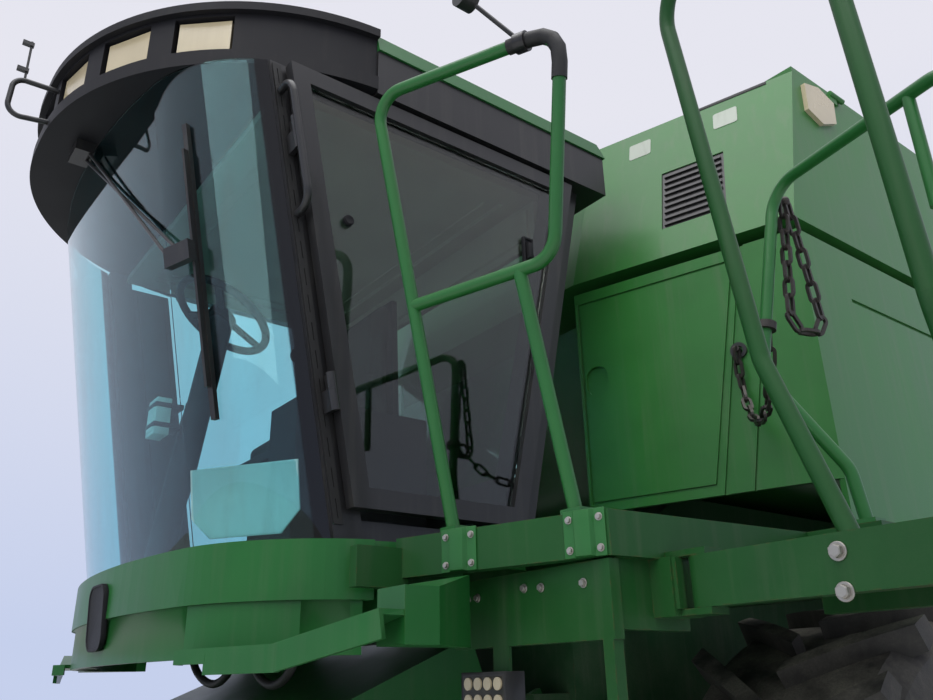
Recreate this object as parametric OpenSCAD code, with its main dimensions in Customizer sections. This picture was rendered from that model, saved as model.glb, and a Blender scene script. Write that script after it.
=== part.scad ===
/* [Overall] */
// Length from the feeder mouth to the rear of the straw hood
length_all = 8600; // [8200:50:9200]
// Height of the exhaust outlet above the ground
height_all = 3950; // [3900:10:4100]
// Half width over the side shields
body_half_w = 1500; // [1450:10:1550]
// Height of the cab floor and the platform deck
deck_z = 1950; // [1930:5:1980]

/* [Wheels] */
// Distance of the front axle behind the feeder mouth
front_axle_back = 2650; // [2600:10:2700]
// Distance between the axles
wheel_base = 3650; // [3550:10:3750]
// Front tyre diameter over the lugs
front_tyre_d = 1800; // [1760:10:1820]
// Front tyre width
front_tyre_w = 650; // [560:10:660]
// Front rim seat diameter
front_rim_d = 820; // [760:10:860]
// Distance of a front wheel's middle from the centre-plane
front_wheel_x = 1395; // [1380:5:1410]
// Rear tyre diameter over the lugs
rear_tyre_d = 1250; // [1200:10:1260]
// Rear tyre width
rear_tyre_w = 400; // [340:10:410]
// Rear rim seat diameter
rear_rim_d = 500; // [480:10:540]
// Distance of a rear wheel's middle from the centre-plane
rear_wheel_x = 1100; // [1095:5:1140]
// Distance of a king pin from the centre-plane
kingpin_x = 790; // [780:5:800]
// Length of the steering arms
steer_arm = 250; // [230:5:270]
// Diameter of the front axle stub
front_stub_d = 120; // [100:5:130]
// Diameter of the rear axle stub
rear_stub_d = 70; // [60:5:80]
// Radial play of a shaft in its bore
running_fit = 0.05; // [0.02:0.01:0.08]

/* [Cab] */
// Distance of the cab skirt's front ahead of the front axle
cab_ahead = 1950; // [1900:10:2000]
// Half width of the cab at its skirt
cab_half_w = 950; // [930:5:960]
// Radius of the bowed cab front
cab_front_r = 2800; // [2400:50:3200]
// Radius of the cab's front corners
cab_corner_r = 500; // [450:10:550]
// Forward lean of the windscreen
glass_lean = 11.3; // [8:0.1:13]
// Thickness of the cab glass
glass_t = 6; // [5:1:8]
// Height of the roof's side edge
roof_z = 3600; // [3560:5:3640]
// Height of the roof's side band
roof_band = 240; // [200:5:260]

/* [Platform] */
// Half width of the platform at its outer front corner
platform_x = 1550; // [1520:5:1580]
// Rearward sweep of the platform's front edge and the body front
sweep = 17; // [14:0.5:19]
// Height of the edge beams
beam_h = 100; // [90:5:110]
// Handrail tube diameter
rail_d = 34; // [30:1:38]
// Ladder rail tube diameter
ladder_rail_d = 40; // [36:1:44]
// Outermost point of the ladder on the left side
ladder_reach = 2420; // [2400:5:2440]
// Height of the ladder landing
landing_z = 1850; // [1840:5:1870]

/* [Body] */
// Height of the tank's upper rim
tank_top_z = 3850; // [3820:5:3870]
// Height of the lower shields' upper edge
shield_top_z = 3060; // [3040:5:3080]
// Width of the dark gap between the shields and the tank
shield_gap = 50; // [40:5:60]
// Thickness of tank and shield sheet with its folded edge
sheet = 20; // [15:1:25]
// Half width of the threshing body
thresher_half_w = 780; // [760:5:790]
// Height of the threshing body's top under the tank
thresher_top_z = 2250; // [2230:5:2270]
// Height of the threshing body's underside over the rear axle
thresher_low_z = 1300; // [1280:5:1320]

/* [Feeder] */
// Height of the feeder house pivot
feeder_pivot_z = 1500; // [1480:5:1520]
// Downward slope of the feeder house at rest
feeder_slope = 22; // [20:0.5:24]
// Half width of the feeder house
feeder_half_w = 700; // [680:5:720]
// Depth of the feeder house from floor to top
feeder_depth = 620; // [600:5:640]
// Wall of the feeder house
feeder_wall = 20; // [12:1:24]
// Lift cylinder barrel diameter
lift_barrel_d = 95; // [85:1:105]
// Lift cylinder rod diameter
lift_rod_d = 55; // [45:1:60]
// Lift cylinder pin diameter
lift_pin_d = 40; // [36:1:44]

/* [Unloading auger] */
// Outer diameter of the auger tube
auger_d = 310; // [290:5:320]
// Distance of the auger's swing axis behind the front axle
auger_back = 2600; // [2580:5:2640]

/* [Hidden] */
$fn = 64;

// Places along the machine, from the feeder mouth in front to the straw hood behind
mouth_y = -length_all / 2;
rear_y = length_all / 2;
front_axle_y = mouth_y + front_axle_back;
rear_axle_y = front_axle_y + wheel_base;
front_axle_z = front_tyre_d / 2;
rear_axle_z = rear_tyre_d / 2;
cab_y = front_axle_y - cab_ahead;
tyre_out = front_wheel_x + front_tyre_w / 2;
// The origin lies at the middle of the full width with the ladder out
centre_x = (tyre_out - ladder_reach) / 2;
seat_gap = 0.3;

function unit(v) = v / norm(v);
function bend_trim(a, b, c, r) = r * tan(acos(unit(b - a) * unit(c - b)) / 2);
function frame_at(x, y, z, p) = [[x[0], y[0], z[0], p[0]], [x[1], y[1], z[1], p[1]], [x[2], y[2], z[2], p[2]], [0, 0, 0, 1]];
function side_of(d) = unit(cross(d, abs(d[2]) > 0.9 ? [1, 0, 0] : [0, 0, 1]));

// A box from one corner to the opposite one
module block(a, b) translate(a) cube(b - a);

// A round bar from one point to another
module bar(a, b, d) {
    u = unit(b - a);
    y = side_of(u);
    multmatrix(frame_at(cross(y, u), y, u, a)) cylinder(h = norm(b - a), d = d);
}

// A round tube along a line of points, with a bend of one radius at each inner point
module bent_tube(points, d, bend) {
    last = len(points) - 1;
    lap = 2;
    bend_d = d - 0.2;
    trims = [for (i = [0:last]) (i == 0 || i == last) ? 0 : bend_trim(points[i - 1], points[i], points[i + 1], bend) - lap];
    for (i = [0:last - 1]) {
        u = unit(points[i + 1] - points[i]);
        bar(points[i] + u * trims[i], points[i + 1] - u * trims[i + 1], d, $fn = 32);
    }
    for (i = [1:1:last - 1]) {
        u = unit(points[i] - points[i - 1]);
        v = unit(points[i + 1] - points[i]);
        n = unit(v - (v * u) * u);
        multmatrix(frame_at(-n, u, cross(-n, u), points[i] - u * (trims[i] + lap) + n * bend))
            rotate_extrude(angle = acos(v * u)) translate([bend, 0]) circle(d = bend_d, $fn = 32);
    }
}

// A solid between two outlines with the same number of points
module loft(low, high) {
    n = len(low);
    polyhedron(points = concat(low, high), faces = concat(
        [[for (i = [0:n - 1]) i]],
        [[for (i = [0:n - 1]) 2 * n - 1 - i]],
        [for (i = [0:n - 1]) [(i + 1) % n, i, n + i]],
        [for (i = [0:n - 1]) [(i + 1) % n, n + i, n + (i + 1) % n]]));
}

// A side outline, drawn in Y and Z, given its width across the machine
module across(x0, x1) translate([x0, 0, 0]) rotate([90, 0, 90]) linear_extrude(x1 - x0) children();

module both_sides() {
    children();
    mirror([1, 0, 0]) children();
}

module origin() translate([centre_x, 0, 0]) children();

// A rectangle with two half rounds at its ends
module stadium(l, w, faces = 64) {
    square([l - w, w], center = true);
    for (x = [-1, 1]) translate([x * (l - w) / 2, 0]) circle(d = w, $fn = faces);
}

// Wheels: a hollow tyre whose slanted lugs are cut back to its outer diameter
tyre_bead = 24;
front_lugs = 20;
front_lug_h = 52;
front_lug_w = 58;
rear_lugs = 18;
rear_lug_h = 36;
rear_lug_w = 40;
module tyre(d, w, rim_d, lugs, lug_h, lug_w) {
    base = d / 2 - lug_h;
    seat = rim_d / 2 + seat_gap;
    wall = base - seat;
    rotate([0, 90, 0]) rotate_extrude($fn = 96) polygon([[seat, -w * 0.40], [seat + tyre_bead, -w * 0.43],
        [seat + wall * 0.35, -w / 2], [seat + wall * 0.62, -w / 2], [base - wall * 0.12, -w * 0.46], [base, -w * 0.38],
        [base, w * 0.38], [base - wall * 0.12, w * 0.46], [seat + wall * 0.62, w / 2], [seat + wall * 0.35, w / 2],
        [seat + tyre_bead, w * 0.43], [seat, w * 0.40], [seat, w * 0.34], [seat + wall * 0.8, w * 0.30],
        [seat + wall * 0.8, -w * 0.30], [seat, -w * 0.34]]);
    intersection() {
        rotate([0, 90, 0]) translate([0, 0, -w * 0.485]) cylinder(h = w * 0.97, d = d, $fn = 96);
        for (i = [0:lugs - 1], side = [0, 1]) mirror([side, 0, 0]) rotate([(i + side / 2) * 360 / lugs, 0, 0])
            translate([0, 0, base - lug_h * 0.9]) linear_extrude(lug_h * 2.6) polygon([[8, -lug_w * 0.5],
                [w * 0.5, w * 0.34 - lug_w * 0.6], [w * 0.5, w * 0.34 + lug_w * 0.6], [8, lug_w * 0.4]]);
    }
}

rim_t = 12;
hub_cap = 22;
// The rim's open side looks outward, and its hub turns on the axle stub
module rim(rim_d, w, disc_out, hub_d, hub_in, hub_out, stub_d) rotate([0, 90, 0]) difference() {
    union() {
        rotate_extrude($fn = 96) {
            r = rim_d / 2;
            polygon([[r, -w * 0.40], [r + tyre_bead * 0.8, -w * 0.43], [r + tyre_bead * 0.8, -w * 0.43 - 8], [r - rim_t, -w * 0.40 - 8],
                [r - rim_t, -w * 0.28], [r - rim_t * 3, -w * 0.24], [r - rim_t * 3, w * 0.24], [r - rim_t, w * 0.28],
                [r - rim_t, w * 0.40 + 8], [r + tyre_bead * 0.8, w * 0.43 + 8], [r + tyre_bead * 0.8, w * 0.43], [r, w * 0.40],
                [r, w * 0.27], [r - rim_t * 2, w * 0.23], [r - rim_t * 2, -w * 0.23], [r, -w * 0.27]]);
        }
        translate([0, 0, disc_out - rim_t / 2]) cylinder(h = rim_t, r = rim_d / 2 - rim_t * 2.5);
        translate([0, 0, hub_in]) cylinder(h = hub_out - hub_in, d = hub_d);
    }
    translate([0, 0, hub_in - 1]) cylinder(h = hub_out - hub_in + 1 - hub_cap, d = stub_d + 2 * running_fit);
}

front_hub_in = -65;
front_hub_out = 70;
rear_hub_in = -55;
rear_hub_out = 55;
front_hub_d = 300;
rear_hub_d = 180;
module front_rim() rim(front_rim_d, front_tyre_w, 0, front_hub_d, front_hub_in, front_hub_out, front_stub_d);
module rear_rim() rim(rear_rim_d, rear_tyre_w, 0, rear_hub_d, rear_hub_in, rear_hub_out, rear_stub_d);
module at_front(side) translate([side * front_wheel_x, front_axle_y, front_axle_z]) rotate([0, 0, side > 0 ? 0 : 180]) children();
module at_rear(side) translate([side * rear_wheel_x, rear_axle_y, rear_axle_z]) rotate([0, 0, side > 0 ? 0 : 180]) children();
module front_rim_left() color("gold") at_front(1) front_rim();
module front_rim_right() color("gold") at_front(-1) front_rim();
module front_tyre() tyre(front_tyre_d, front_tyre_w, front_rim_d, front_lugs, front_lug_h, front_lug_w);
module rear_tyre() tyre(rear_tyre_d, rear_tyre_w, rear_rim_d, rear_lugs, rear_lug_h, rear_lug_w);
module front_tyre_left() color("dimgray") at_front(1) front_tyre();
module front_tyre_right() color("dimgray") at_front(-1) front_tyre();
module rear_rim_left() color("gold") at_rear(1) rear_rim();
module rear_rim_right() color("gold") at_rear(-1) rear_rim();
module rear_tyre_left() color("dimgray") at_rear(1) rear_tyre();
module rear_tyre_right() color("dimgray") at_rear(-1) rear_tyre();

// Steering
kingpin_d = 80;
eye_d = 160;
eye_h = 180;
fork_gap = 6;
fork_t = 40;
arm_t = 30;
tie_pin_d = 30;
tie_z = rear_axle_z - eye_h / 2 - fork_gap - fork_t;
module knuckle() {
    half = eye_h / 2 + fork_gap;
    translate([kingpin_x, rear_axle_y, rear_axle_z]) {
        for (z = [-half - fork_t, half]) {
            translate([0, 0, z]) cylinder(h = fork_t, d = eye_d);
            translate([0, -eye_d / 2, z]) cube([130, eye_d, fork_t]);
        }
        translate([92, -eye_d / 2, -half - 1]) cube([38, eye_d, 2 * half + 2]);
        translate([0, 0, -half - fork_t]) cylinder(h = 2 * (half + fork_t), d = kingpin_d);
        translate([120, 0, 0]) rotate([0, 90, 0]) cylinder(h = rear_wheel_x - kingpin_x - 120 + rear_hub_out - hub_cap - 3, d = rear_stub_d);
        translate([-35, 0, -half - fork_t]) cube([70, steer_arm, arm_t]);
        translate([0, steer_arm, -half - fork_t]) cylinder(h = arm_t, d = 76);
        translate([0, steer_arm, -half - fork_t - 50]) cylinder(h = 52, d = tie_pin_d);
    }
}
module knuckle_left() color("darkgreen") knuckle();
module knuckle_right() color("darkgreen") mirror([1, 0, 0]) knuckle();
module tie_rod() color("dimgray") difference() {
    union() {
        both_sides() translate([kingpin_x, rear_axle_y + steer_arm, tie_z - 45]) cylinder(h = 40, d = 64);
        bar([-kingpin_x + 20, rear_axle_y + steer_arm, tie_z - 25], [kingpin_x - 20, rear_axle_y + steer_arm, tie_z - 25], 36);
    }
    both_sides() translate([kingpin_x, rear_axle_y + steer_arm, tie_z - 60]) cylinder(h = 80, d = tie_pin_d + 2 * running_fit);
}

// Frame rails with their cross-members, the cab's bearers and the outriggers of the shields
rail_x = 430;
rail_w = 80;
rail_z0 = thresher_low_z - 120;
bearer_h = 160;
module chassis() color("darkgreen") {
    both_sides() {
        block([rail_x - rail_w / 2, front_axle_y - 150, rail_z0], [rail_x + rail_w / 2, sieve_y0, thresher_low_z]);
        block([rail_x - rail_w / 2, sieve_y1, rail_z0], [rail_x + rail_w / 2, rear_axle_y + 1000, thresher_low_z]);
        block([thresher_half_w - 60, cab_y + 300, deck_z - cab_floor_t - bearer_h], [thresher_half_w, thresher_front_y, deck_z - cab_floor_t]);
        for (y = [front_axle_y + 60, front_axle_y + 1300, rear_axle_y - 750, rear_axle_y + 600])
            block([thresher_half_w, y, outrigger_z], [body_half_w - sheet, y + 60, outrigger_z + 80]);
    }
    for (y = [front_axle_y + 600, sieve_y1 + 200, rear_axle_y + 900])
        block([-rail_x, y, rail_z0 + 10], [rail_x, y + 80, rail_z0 + 90]);
}

// Front axle with its final drives, the stubs that carry the hubs and the ears of the lift cylinders
axle_h = 240;
drive_d = 460;
neck_d = 260;
drive_x = 880;
neck_x = 1180;
module front_axle() color("darkgreen") {
    both_sides() {
        block([rail_x - 60, front_axle_y - 90, front_axle_z + axle_h / 2 - 10], [rail_x + 60, front_axle_y + 90, rail_z0]);
        translate([drive_x, front_axle_y, front_axle_z]) rotate([0, 90, 0]) cylinder(h = neck_x - drive_x, d = drive_d);
        translate([neck_x, front_axle_y, front_axle_z]) rotate([0, 90, 0])
            cylinder(h = front_wheel_x - neck_x + front_hub_in - 5, d = neck_d);
        translate([neck_x, front_axle_y, front_axle_z]) rotate([0, 90, 0])
            cylinder(h = front_wheel_x - neck_x + front_hub_out - hub_cap - 3, d = front_stub_d);
        for (x = [-ear_out, ear_in])
            block([lift_x + x, front_axle_y - 240, front_axle_z - 330], [lift_x + x + ear_out - ear_in, front_axle_y + 60, front_axle_z - 100]);
        translate([lift_x - ear_out, lift_foot_y, lift_foot_z]) rotate([0, 90, 0]) cylinder(h = 2 * ear_out, d = lift_pin_d);
    }
    block([-drive_x - 20, front_axle_y - 100, front_axle_z - axle_h / 2], [drive_x + 20, front_axle_y + 100, front_axle_z + axle_h / 2]);
}

// Rear axle beam under its pedestal, with an eye for each king pin and the drawbar behind
pedestal_w = 250;
drawbar_l = 430;
module rear_axle() color("darkgreen") {
    block([-pedestal_w, rear_axle_y - 160, rear_axle_z + 80], [pedestal_w, rear_axle_y + 160, thresher_low_z]);
    difference() {
        union() {
            block([-kingpin_x + 40, rear_axle_y - 75, rear_axle_z - 75], [kingpin_x - 40, rear_axle_y + 75, rear_axle_z + 81]);
            both_sides() translate([kingpin_x, rear_axle_y, rear_axle_z - eye_h / 2]) cylinder(h = eye_h, d = eye_d);
        }
        both_sides() translate([kingpin_x, rear_axle_y, rear_axle_z - eye_h]) cylinder(h = 2 * eye_h, d = kingpin_d + 2 * running_fit);
    }
    difference() {
        union() {
            block([-60, rear_axle_y + 74, rear_axle_z - 60], [60, rear_axle_y + drawbar_l, rear_axle_z - 10]);
            translate([0, rear_axle_y + drawbar_l, rear_axle_z - 60]) cylinder(h = 50, d = 120);
        }
        translate([0, rear_axle_y + drawbar_l, rear_axle_z - 61]) cylinder(h = 52, d = hitch_d);
    }
}
hitch_d = 32;
outrigger_z = 1980;
lift_x = 560;
lift_foot_y = front_axle_y - 190;
lift_foot_z = front_axle_z - 260;

// Threshing body, closed on all sides
sieve_y0 = front_axle_y + 1450;
sieve_y1 = rear_axle_y - 900;
thresher_front_y = front_axle_y - 700;
straw_hood_l = 1150;
thresher_rear_y = rear_y - straw_hood_l;
module threshing_body() color("darkgreen") {
    // bearings of the feeder pivot
    both_sides() difference() {
        block([feeder_half_w + 6, thresher_front_y - 150, feeder_pivot_z - 65], [feeder_half_w + 52, thresher_front_y + 2, feeder_pivot_z + 65]);
        translate([feeder_half_w, feeder_pivot_y, feeder_pivot_z]) rotate([0, 90, 0]) cylinder(h = 80, d = pivot_pin_d + 2 * running_fit);
    }
    across(-thresher_half_w, thresher_half_w) polygon([
        [thresher_front_y, thresher_low_z], [thresher_rear_y, thresher_low_z], [thresher_rear_y, thresher_top_z],
        [thresher_front_y + 600, thresher_top_z], [thresher_front_y, thresher_top_z - 420]]);
    // sieve box
    block([-650, sieve_y0, thresher_low_z - 320], [650, sieve_y1, thresher_low_z + 10]);
}

// Side and front shields
shield_front_y = front_axle_y - 180;
front_in_x = 650;
front_in_y = shield_front_y - (body_half_w - front_in_x) * tan(sweep);
shield_rear_y = rear_axle_y + 800;
front_panel_z = deck_z + 220;
// The face of the front shields: X runs outward along it, Y into the body
module on_front() translate([front_in_x, front_in_y, 0]) rotate([0, 0, sweep]) children();
// A side or front outline pressed into a face, drawn in X and Z
module pressed(depth) translate([0, depth, 0]) rotate([90, 0, 0]) linear_extrude(depth + 5) children();
groove_d = 8;
groove_w = 10;
column_lean = 0.197;
door_foot_z = front_panel_z + 30;
door_head_z = shield_top_z - 45;
door_in = 12;
door_out = 494;
// Outline of the front service door at a distance inside its edge
module service_door(e) polygon([[door_in + e, door_foot_z + e], [door_out - e * 1.2, door_foot_z + e],
    [door_out + (door_head_z - door_foot_z) * column_lean - e, door_head_z - e], [door_in + e, door_head_z - e]]);
// A slanted groove from the lower to the upper edge of the front shields
module slanted(x, w) {
    rise = shield_top_z + 1 - front_panel_z;
    polygon([[x, front_panel_z - 1], [x + w, front_panel_z - 1], [x + w + rise * column_lean, shield_top_z + 1], [x + rise * column_lean, shield_top_z + 1]]);
}
column_x0 = door_out + 12;
column_x1 = 607;
latch_x = 72;
latch_z = deck_z + 725;
grommet_x = 627;
grommet_z = deck_z + 710;
crease_z = deck_z + 900;
// Joints between the side panels, behind the front axle
panel_joints = [900, 2560];
module body_panels() color("forestgreen") both_sides() difference() {
    union() {
        across(body_half_w - sheet, body_half_w) polygon([
            [shield_front_y, deck_z], [front_axle_y + 850, deck_z], [front_axle_y + 1080, 1300], [rear_axle_y - 850, 1300],
            [rear_axle_y - 750, 1450], [shield_rear_y, 1450], [shield_rear_y, shield_top_z], [shield_front_y, shield_top_z]]);
        translate([0, 0, front_panel_z]) linear_extrude(shield_top_z - front_panel_z) polygon([
            [front_in_x, front_in_y], [body_half_w, shield_front_y], [body_half_w, shield_front_y + sheet],
            [front_in_x, front_in_y + sheet]]);
    }
    on_front() pressed(groove_d) {
        difference() {
            service_door(0);
            service_door(groove_w);
        }
        slanted(column_x0, 16);
        slanted(column_x1, 7);
    }
    on_front() pressed(groove_d + 4) translate([latch_x, latch_z]) rotate(90) stadium(118, 92);
    // crease and joints of the side panels
    block([body_half_w - groove_d, shield_front_y + 290, crease_z], [body_half_w + 1, shield_rear_y - 60, crease_z + 14]);
    for (y = panel_joints) block([body_half_w - groove_d, front_axle_y + y, 1200], [body_half_w + 1, front_axle_y + y + groove_w, shield_top_z + 1]);
}

// Grain tank: box above the shields, hopper below, open at the top
tank_z = shield_top_z + shield_gap;
tank_rear_y = front_axle_y + 2400;
tank_lean = 200;
function tank_outline(z, lean, inset) = let (w = body_half_w - inset, i = front_in_x, f = shield_front_y + lean + inset, g = front_in_y + lean + inset)
    [[-w, f, z], [-i, g, z], [i, g, z], [w, f, z], [w, tank_rear_y - inset, z], [-w, tank_rear_y - inset, z]];
hopper_inset = 60;
hopper_half_w = 520;
hopper_y0 = front_axle_y + 250;
hopper_y1 = tank_rear_y - 450;
function rectangle(w, y0, y1, z) = [[-w, y0, z], [w, y0, z], [w, y1, z], [-w, y1, z]];
module hopper(inset, z0, z1) loft(
    rectangle(hopper_half_w - inset, hopper_y0 + inset, hopper_y1 - inset, z0),
    rectangle(body_half_w - hopper_inset - inset, shield_front_y + hopper_inset + inset, tank_rear_y - hopper_inset - inset, z1));
// The leaning front of the tank: X runs outward along it, Y into the tank
tank_turn = atan(tank_lean * cos(sweep) / (tank_top_z - tank_z));
module on_tank_front() translate([front_in_x, front_in_y, tank_z]) rotate([0, 0, sweep]) rotate([-tank_turn, 0, 0]) children();
vent_x = 390;
vent_z = 145;
vent_w = 262;
vent_h = 310;
vent_d = 12;
module grain_tank() color("forestgreen") difference() {
    union() {
        loft(tank_outline(tank_z, 0, 0), tank_outline(tank_top_z, tank_lean, 0));
        hopper(0, thresher_top_z, tank_z + 2);
        both_sides() for (y = cover_hinges) {
            cover_knuckle(y - 50, 50);
            block([body_half_w - 12, y - 50, tank_top_z - 40], [cover_axis_x, y, tank_top_z - 0.5]);
        }
    }
    both_sides() cover_bore(cover_pin_d + 2 * running_fit);
    on_tank_front() block([vent_x, -5, vent_z], [vent_x + vent_w, vent_d, vent_z + vent_h]);
    loft(tank_outline(tank_z + sheet, 6, sheet), tank_outline(tank_top_z + 1, tank_lean + 1, sheet));
    hopper(sheet, thresher_top_z + sheet, tank_z + sheet + 1);
}

// Tank covers, hinged along the tank's sides
cover_rise = 60;
cover_t = 24;
module cover_wedge(edge, z0, rise, y0, y1) translate([0, y1, 0]) rotate([90, 0, 0]) linear_extrude(y1 - y0) polygon([
    [body_half_w - edge, z0], [body_half_w - edge, z0 + rise], [4 + edge, z0 + rise + cover_rise], [4 + edge, z0]]);
cover_hinges = [shield_front_y + tank_lean + 300, shield_front_y + tank_lean + 1300, tank_rear_y - 250];
cover_axis_x = body_half_w + 14;
cover_pin_d = 10;
module cover_knuckle(y, h) translate([cover_axis_x, y + h, tank_top_z]) rotate([90, 0, 0]) cylinder(h = h, d = 22);
module cover_bore(d) for (y = cover_hinges) translate([cover_axis_x, y + 48, tank_top_z]) rotate([90, 0, 0]) cylinder(h = 99, d = d);
module tank_cover() {
    y0 = shield_front_y + tank_lean;
    difference() {
        cover_wedge(0, tank_top_z + seat_gap, cover_t, y0, tank_rear_y);
        cover_wedge(sheet, tank_top_z - 1, cover_t - 8, y0 + sheet, tank_rear_y - sheet);
    }
    for (y = cover_hinges) {
        cover_knuckle(y + seat_gap, 50);
        block([body_half_w - 12, y + seat_gap, tank_top_z + 2], [cover_axis_x, y + 50, tank_top_z + 11]);
    }
    cover_bore(cover_pin_d);
}
module tank_cover_left() color("forestgreen") tank_cover();
module tank_cover_right() color("forestgreen") mirror([1, 0, 0]) tank_cover();

// Engine, hood, cooling and exhaust
hood_y0 = tank_rear_y + 20;
fuel_tank_l = 520;
hood_y1 = thresher_rear_y - fuel_tank_l - 210;
hood_half_w = 1120;
hood_z = 3380;
module engine() color("dimgray") {
    block([-430, hood_y0 + 250, thresher_top_z], [430, hood_y1 - 300, thresher_top_z + 820]);
}
module engine_hood() color("forestgreen") difference() {
    across(-hood_half_w, hood_half_w) polygon([[hood_y0, thresher_top_z], [hood_y1, thresher_top_z], [hood_y1, hood_z - 350],
        [hood_y1 - 250, hood_z - 60], [hood_y0 + 60, hood_z], [hood_y0, hood_z - 40]]);
    across(-hood_half_w + sheet, hood_half_w - sheet) polygon([[hood_y0 + sheet, thresher_top_z - 1], [hood_y1 - sheet, thresher_top_z - 1],
        [hood_y1 - sheet, hood_z - 360], [hood_y1 - 260, hood_z - 80], [hood_y0 + 70, hood_z - sheet], [hood_y0 + sheet, hood_z - 60]]);
    block([-hood_half_w - 1, screen_y0, screen_z0], [-hood_half_w + sheet + 1, screen_y1, screen_z1]);
    for (i = [0:11]) block([hood_half_w - groove_d, screen_y0, screen_z0 + i * 60], [hood_half_w + 1, screen_y1, screen_z0 + i * 60 + 22]);
}
screen_y0 = hood_y0 + 250;
screen_y1 = hood_y1 - 400;
screen_z0 = thresher_top_z + 130;
screen_z1 = hood_z - 150;
slat_step = 42;
module radiator_screen() color("black") {
    x0 = -hood_half_w - 30;
    x1 = -hood_half_w - seat_gap;
    difference() {
        block([x0, screen_y0 - 40, screen_z0 - 40], [x1, screen_y1 + 40, screen_z1 + 40]);
        block([x0 - 1, screen_y0 + 10, screen_z0 + 10], [x1 + 1, screen_y1 - 10, screen_z1 - 10]);
    }
    for (z = [screen_z0 + 40:slat_step:screen_z1 - 30]) block([x0 + 6, screen_y0, z], [x1 - 6, screen_y1, z + 14]);
}
muffler_y = hood_y1 - 500;
module exhaust() color("gray") {
    translate([-350, muffler_y, hood_z + 115]) rotate([0, 90, 0]) cylinder(h = 700, d = 240);
    translate([260, muffler_y, hood_z + 115]) cylinder(h = height_all - hood_z - 115, d = 110);
    for (x = [-250, 150]) difference() {
        block([x, muffler_y - 60, hood_z - 90], [x + 40, muffler_y + 60, hood_z + 20]);
        across(x - 1, x + 41) polygon([[hood_y0 + 60, hood_z + seat_gap], [hood_y1 - 250, hood_z - 60 + seat_gap], [hood_y1, hood_z - 400], [hood_y0, hood_z - 400]]);
    }
}
module fuel_tank() color("black") {
    block([-hood_half_w + 20, hood_y1 + 20, thresher_top_z], [hood_half_w - 480, hood_y1 + fuel_tank_l, thresher_top_z + 480]);
}

// Straw hood at the rear, open below
straw_z0 = 1150;
straw_lip_z = 1500;
straw_roof_l = 500;
module straw_hood() color("forestgreen") {
    straw_shell();
    both_sides() for (y = [120, 470, 820]) block([thresher_half_w + sheet - 1, thresher_rear_y + y, straw_lip_z], [thresher_half_w + sheet + 16, thresher_rear_y + y + 45, thresher_top_z - 480]);
}
module straw_shell() difference() {
    w = thresher_half_w + sheet;
    y0 = thresher_rear_y;
    across(-w, w) polygon([[y0, thresher_low_z], [y0, thresher_top_z + 120], [y0 + straw_roof_l, thresher_top_z + 120],
        [rear_y, thresher_top_z - 500], [rear_y, straw_lip_z], [rear_y - 300, straw_z0], [y0 + 250, straw_z0]]);
    across(-w + sheet, w - sheet) polygon([[y0 - 1, thresher_low_z + sheet], [y0 - 1, thresher_top_z + 90], [y0 + straw_roof_l - 10, thresher_top_z + 90],
        [rear_y - sheet, thresher_top_z - 510], [rear_y - sheet, straw_lip_z + 10], [rear_y - 290, straw_z0 - 1], [y0 + 260, straw_z0 - 1]]);
}

// Cab plan outline: a bowed front, round corners and straight sides
function corner_x(corner) = cab_half_w - corner;
function corner_y(corner) = cab_front_r - sqrt(pow(cab_front_r - corner, 2) - pow(corner_x(corner), 2));
module cab_plan(inset, back, corner = cab_corner_r) {
    r = cab_front_r - inset;
    c = corner - inset;
    cx = corner_x(corner);
    cy = corner_y(corner);
    reach = 1.02 * cab_front_r / (cab_front_r - corner);
    foot = [cx * reach, cab_front_r - (cab_front_r - cy) * reach];
    translate([0, cab_y]) intersection() {
        union() {
            intersection() {
                translate([0, cab_front_r]) circle(r = r, $fn = 240);
                polygon([[0, cab_front_r], [-foot[0], foot[1]], [-foot[0], foot[1] - 200], [foot[0], foot[1] - 200], foot]);
            }
            for (s = [-1, 1]) translate([s * cx, cy]) circle(r = c, $fn = 96);
            translate([-cab_half_w + inset, cy]) square([2 * (cab_half_w - inset), 2 * cab_half_w]);
        }
        translate([-cab_half_w - 40, -40]) square([2 * cab_half_w + 80, back + 40]);
    }
}

cab_floor_t = 60;
skirt_z0 = deck_z - 280;
skirt_crease_z = deck_z - 150;
cab_back = 1040;
module cab_base() color("forestgreen") {
    translate([0, 0, deck_z - cab_floor_t]) linear_extrude(cab_floor_t) cab_plan(20, cab_back);
    difference() {
        union() {
            translate([0, 0, skirt_crease_z]) linear_extrude(deck_z - skirt_crease_z) cab_plan(0, 420);
            translate([0, 0, skirt_z0]) linear_extrude(skirt_crease_z - skirt_z0 + 1) cab_plan(14, 400);
        }
        translate([0, 0, skirt_z0 - 1]) linear_extrude(400) cab_plan(34, 430);
    }
    both_sides() front_step();
}

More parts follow.
